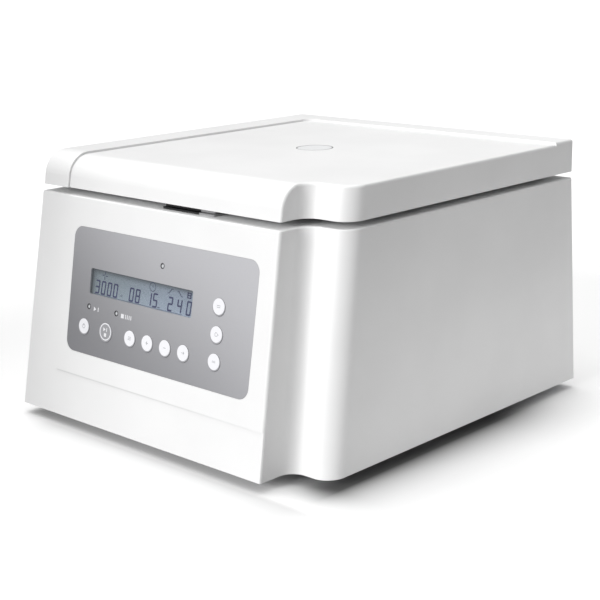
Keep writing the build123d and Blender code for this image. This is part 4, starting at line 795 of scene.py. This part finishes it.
def triangle(radius, u, v, w=PRINT_W):
    """A flat triangle that points right: a cylinder of three sides."""
    pick_none()
    bpy.ops.mesh.primitive_cylinder_add(vertices=3, radius=radius / 1000, depth=INK_THICK)
    made = bpy.context.object
    bpy.ops.object.mode_set(mode="EDIT")
    bpy.ops.mesh.select_all(action="SELECT")
    bpy.ops.mesh.inset(thickness=radius / 1000 * INSET_SHARE, use_individual=False)
    bpy.ops.object.mode_set(mode="OBJECT")
    return settle(made, on_face(u, v, w) @ Matrix.Rotation(radians(-90), 4, "Z"))


MARK_V, MARK_TALL = 88.6, 3.2
marks = [triangle(1.9, -71.0, MARK_V)]
marks += [stroke(width, MARK_TALL, u, MARK_V, w=PRINT_W) for width, u in (
    (0.8, -66.8), (MARK_TALL, -38.6), (0.8, -35.0), (0.8, -33.0), (0.8, -31.0), (0.8, -29.0))]
mark_count = len(marks)
dressed(joined(marks, "lamp_marks"), finishes["print_white"], "base")
LAMP_PLACES = [(-78.0, 89.3), (-46.0, 89.2), (0.0, 131.4)]
# Painted shadow: a dark ring round each lamp, shifted up and right as the recess's shadow falls
LAMP_SHADOW_RADIUS, LAMP_SHADOW_LINE, LAMP_SHADOW_SHIFT = 1.85, 0.6, 0.25
shadow_rings = [loop(LAMP_SHADOW_RADIUS, LAMP_SHADOW_LINE, u + LAMP_SHADOW_SHIFT, v + LAMP_SHADOW_SHIFT, PRINT_W) for u, v in LAMP_PLACES]
dressed(joined(shadow_rings, "lamp_shadow_rings"), finishes["black_plastic"], "base")
print("marks:", mark_count, "rims:", len(LAMP_PLACES))

# %% [markdown]
# ## Print on the keys
# Each white cap has a small grey mark in its middle, and the start key a white triangle, bar and
# square inside its ring. The marks ride on their own key, so they move in with it. Plus and minus are
# themselves; the others are plain arrows, bars and rings.

# %% Print on the keys
KEY_W, KEY_LINE = 0.42, 0.35


def spot(node):
    """The middle of a key's print as u and v on the face, in millimetres."""
    place = FACE.inverted() @ print_middle(node)
    return 1000 * place.x, 1000 * place.y


# Strokes of each mark: length, line, place right and up of the key's middle, and turn
KEY_STROKES = {
    "row_key_1": [(1.8, KEY_LINE, 0, 1.2, 90)],
    "row_key_2": [(3.2, KEY_LINE, 0, up, 0) for up in (-1.0, 0, 1.0)],
    "row_key_3": [(2.6, 0.4, 0, 0, turn) for turn in (0, 90)],
    "row_key_4": [(2.6, 0.4, 0, 0, 0)],
    "row_key_5": [(2.8, KEY_LINE, 0, 0, 0), (1.4, KEY_LINE, 1.0, 0.45, -45),
                  (1.4, KEY_LINE, 1.0, -0.45, 45)],
    "side_key_1": [(3.4, KEY_LINE, 0, up, 0) for up in (-0.6, 0.6)],
    "side_key_2": [(1.2, KEY_LINE, 1.9, 0, 0)],
    "side_key_3": [(1.5, KEY_LINE, right, 0, 90) for right in (-1.2, 0, 1.2)],
}
KEY_LOOPS = {"row_key_1": 1.5, "side_key_2": 1.3}
key_marks = {}
for key, strokes in KEY_STROKES.items():
    u, v = spot(key)
    key_marks[key] = [stroke(length, line, u + right, v + up, turn, KEY_W)
                      for length, line, right, up, turn in strokes]
    if key in KEY_LOOPS:
        key_marks[key].append(loop(KEY_LOOPS[key], KEY_LINE, u, v, KEY_W))
for key, strokes in key_marks.items():
    dressed(joined(strokes, key + "_mark"), finishes["print_grey"], key)
u, v = spot("start_key")
start_marks = [triangle(1.7, u - 1.6, v + 1.6, KEY_W), stroke(0.8, 3.0, u + 1.4, v + 1.6, 0, KEY_W),
               stroke(2.6, 2.6, u, v - 2.4, 0, KEY_W)]
dressed(joined(start_marks, "start_key_mark"), finishes["print_white"], "start_key")
print("key marks:", len(key_marks) + 1)

# %% [markdown]
# ## Place numbers on the rotor
# A rotor's places are numbered, so that tubes of equal weight can be set opposite each other. The
# numbers are text made into meshes, laid on the rotor's dished rim between the sleeves.

# %% Place numbers on the rotor
PLACES, TUBE_LEAN = 8, radians(38)
MOUTH_RADIUS, MOUTH_HEIGHT = 0.037, 0.158
NUMBER_RADIUS, NUMBER_SIZE, NUMBER_THICK, NUMBER_LIFT = 0.0535, 0.0052, 0.00004, 0.00002


def rotor_number(number):
    """The number of one place, between it and the next, lying on the dished rim."""
    turn = 2 * pi * (number + 0.5) / PLACES
    outward = Vector((cos(turn), sin(turn), 0))
    rise = (NUMBER_RADIUS - MOUTH_RADIUS) * sin(TUBE_LEAN) / cos(TUBE_LEAN)
    height = MOUTH_HEIGHT + rise + NUMBER_LIFT
    up = (outward * cos(TUBE_LEAN) + Vector((0, 0, sin(TUBE_LEAN)))).normalized()
    across = up.cross(Vector((0, 0, 1))).normalized()
    face = across.cross(up)
    pick_none()
    bpy.ops.object.text_add()
    letters = bpy.context.object
    letters.data.body = str(number + 1)
    letters.data.align_x, letters.data.align_y = "CENTER", "CENTER"
    letters.data.size = NUMBER_SIZE
    letters.data.extrude = NUMBER_THICK
    bpy.ops.object.convert(target="MESH")
    made = bpy.context.object
    lying_flat = Matrix((across, up, face)).transposed().to_4x4()
    place = ROTOR_AXIS + outward * NUMBER_RADIUS + Vector((0, 0, height))
    return settle(made, Matrix.Translation(place) @ lying_flat)


numbers = joined([rotor_number(number) for number in range(PLACES)], "rotor_numbers")
dressed(numbers, finishes["icon_ink"], "rotor")
print("rotor numbers:", PLACES)

# %% [markdown]
# ## Floor
# The photograph has a white ground with a soft shadow, deepest along the foot of the right side. The
# floor is a matte disc. To the camera it is white paper, and two parts of the shadow, which the soft
# lamps alone leave too pale, are a print in that white by distance from the footprint: a deep one
# beside the housing and a faint one before its front. The object sees a pale table about half a metre
# wide on a darker floor, which lights the foot of its sides more than the lid.

# %% Floor
FLOOR_RADIUS = 30
PAPER, INK = (1.05, 1.05, 1.05), (0.0, 0.0, 0.0)
TABLE_CENTRE, TABLE_RADIUS, TABLE_SOFT = Vector((0.36, 0.12, 0)), 0.34, 0.1
TABLE_PALE, TABLE_DARK = (1.0, 1.0, 1.0), (0.15, 0.15, 0.15)
# Beside the housing: the edge it starts from, how soon it fades, how deep it is, and where it ends
SHADE_EDGE, SHADE_REACH, SHADE_DEPTH = 0.150, 0.0185, 0.86
SHADE_FRONT, SHADE_BACK, SHADE_FADE = -0.135, 0.155, 0.06
# Before the front: the same, and the pairs across which it comes and goes from left to right
FOOT_FRONT, FRONT_REACH, FRONT_DEPTH, FRONT_START = -0.165, 0.028, 0.3, 0.008
FRONT_COMES, FRONT_GOES = (-0.15, -0.1), (0.14, 0.19)

pick_none()
bpy.ops.mesh.primitive_circle_add(vertices=128, radius=FLOOR_RADIUS, fill_type="NGON")
floor = bpy.context.object
floor.name = "floor"
floor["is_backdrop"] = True
floor_material = bpy.data.materials.new("floor_white")
floor_material.use_nodes = True
floor_material.node_tree.nodes.clear()
wire = Wire(floor_material.node_tree)
place = object_place(wire)
across, along = split(place, "XY")


def falling(beyond, reach):
    """1 at the edge and less with distance beyond it, falling to about a third in each reach."""
    return wire.sum("EXPONENT", wire.sum("MAXIMUM", beyond, 0.0) * (-1 / reach))


# Painted shadow in the camera's white floor: beside the housing and before its front
along_side = (along.fade(SHADE_FRONT - 0.03, SHADE_FRONT + 0.01)
              * (1 - along.fade(SHADE_BACK - 0.1, SHADE_BACK)))
side_shade = (falling(across - SHADE_EDGE, SHADE_REACH) * across.fade(SHADE_EDGE - SHADE_FADE, SHADE_EDGE)
              * along_side * SHADE_DEPTH)
before = wire.sum("MAXIMUM", FOOT_FRONT - along, 0.0)
along_front = across.fade(*FRONT_COMES) * (1 - across.fade(*FRONT_GOES))
front_shade = (falling(FOOT_FRONT - along, FRONT_REACH) * before.fade(0.0, FRONT_START)
               * along_front * FRONT_DEPTH)
shadow_printed_floor = wire.node("ShaderNodeBsdfDiffuse", {}, {
    "Color": two_tone(wire, side_shade + front_shade, PAPER, INK)})

from_table = vector_sum(wire, "DISTANCE", "Value", place, TABLE_CENTRE)
off_table = from_table.fade(TABLE_RADIUS - TABLE_SOFT, TABLE_RADIUS + TABLE_SOFT)
table = wire.node("ShaderNodeBsdfDiffuse", {}, {
    "Color": two_tone(wire, off_table, TABLE_PALE, TABLE_DARK)})
seen = wire.node("ShaderNodeLightPath", output="Is Camera Ray")
shown = wire.node("ShaderNodeMixShader", {}, {0: seen, 1: table, 2: shadow_printed_floor})
wire.node("ShaderNodeOutputMaterial", {}, {"Surface": shown})
floor.data.materials.append(floor_material)
print("floor shades: beside", SHADE_DEPTH, "before", FRONT_DEPTH)

# %% [markdown]
# ## Light
# Three soft sources make the photograph's shades. The world fills from above and less from the
# horizon, and is white to the camera. A broad lamp in front, a little to the left, whitens the front
# and the round column and leaves the right side grey. A broad lamp overhead lights the lid and puts
# the shadow on the right. A dark card at the left, which the camera can't see, shades the front's
# left end.

# %% Light
HORIZON, ZENITH, SKY_IN_GLOSS = 0.03, 0.7, 0.5
# Each lamp: its name, the direction its light comes from, its power, and its softness in degrees
LAMPS = [("front_lamp", (-0.12, -1.0, 0.32), 2.54, 28), ("top_lamp", (-0.34, 0.06, 1.0), 1.26, 60)]
CARD_EDGE, CARD_Y, CARD_Z, CARD_WIDTH, CARD_HEIGHT = -0.258, -0.78, 0.3, 0.4, 0.6
CARD_BLACK, CARD_GREY = (0.02, 0.02, 0.02), (0.03, 0.03, 0.03)

world = bpy.data.worlds.new("studio")
bpy.context.scene.world = world
world.use_nodes = True
world.node_tree.nodes.clear()
sky = Wire(world.node_tree)
seen, mirrored, through = (sky.node("ShaderNodeLightPath", output=f"Is {ray} Ray")
                           for ray in ("Camera", "Glossy", "Transmission"))
height, = split(sky.node("ShaderNodeTexCoord", output="Generated"), "Z")
strength = HORIZON + height.fade(0.0, 0.9) * (ZENITH - HORIZON)
for white_sky in (seen, mirrored * SKY_IN_GLOSS, through):
    strength = sky.sum("MAXIMUM", strength, white_sky)
background = sky.node("ShaderNodeBackground", {}, {"Color": (1, 1, 1, 1), "Strength": strength})
sky.node("ShaderNodeOutputWorld", {}, {"Surface": background})


def sun(name, direction, power, softness):
    """A lamp whose light comes from the direction given, as if from a broad softbox."""
    bpy.ops.object.light_add(type="SUN")
    lamp = bpy.context.object
    lamp.name = name
    lamp.data.energy = power
    lamp.data.angle = radians(softness)
    lamp.rotation_euler = (-Vector(direction)).to_track_quat("-Z", "Y").to_euler()


pick_none()
for lamp in LAMPS:
    sun(*lamp)

bpy.ops.mesh.primitive_plane_add(size=1)
card = bpy.context.object
card.name = "shade_card"
card_place = Matrix.Translation((CARD_EDGE - CARD_WIDTH / 2, CARD_Y, CARD_Z))
upright_card = Matrix.Rotation(pi / 2, 4, "X") @ Matrix.Diagonal((CARD_WIDTH, CARD_HEIGHT, 1, 1))
settle(card, card_place @ upright_card)
card.visible_camera = False
card_material, card_shader, card_wire = new_finish("card_black", Roughness=1.0)
feed(card_shader, Base_Color=two_tone(card_wire, speckle(card_wire, 20.0), CARD_BLACK, CARD_GREY))
card.data.materials.append(card_material)
card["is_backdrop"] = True
print("lamps:", [name for name, *rest in LAMPS])

# %% [markdown]
# ## Close
# The dressed model's box is set against the CAD model's own, and how far it has grown is printed.

# %% Sizes and the end
new_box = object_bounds()
grown = [max(low - new_low, new_high - high) for low, new_low, high, new_high in
         zip(cad_box[0], new_box[0], cad_box[1], new_box[1])]
print("grown by mm:", [round(1000 * size, 3) for size in grown])
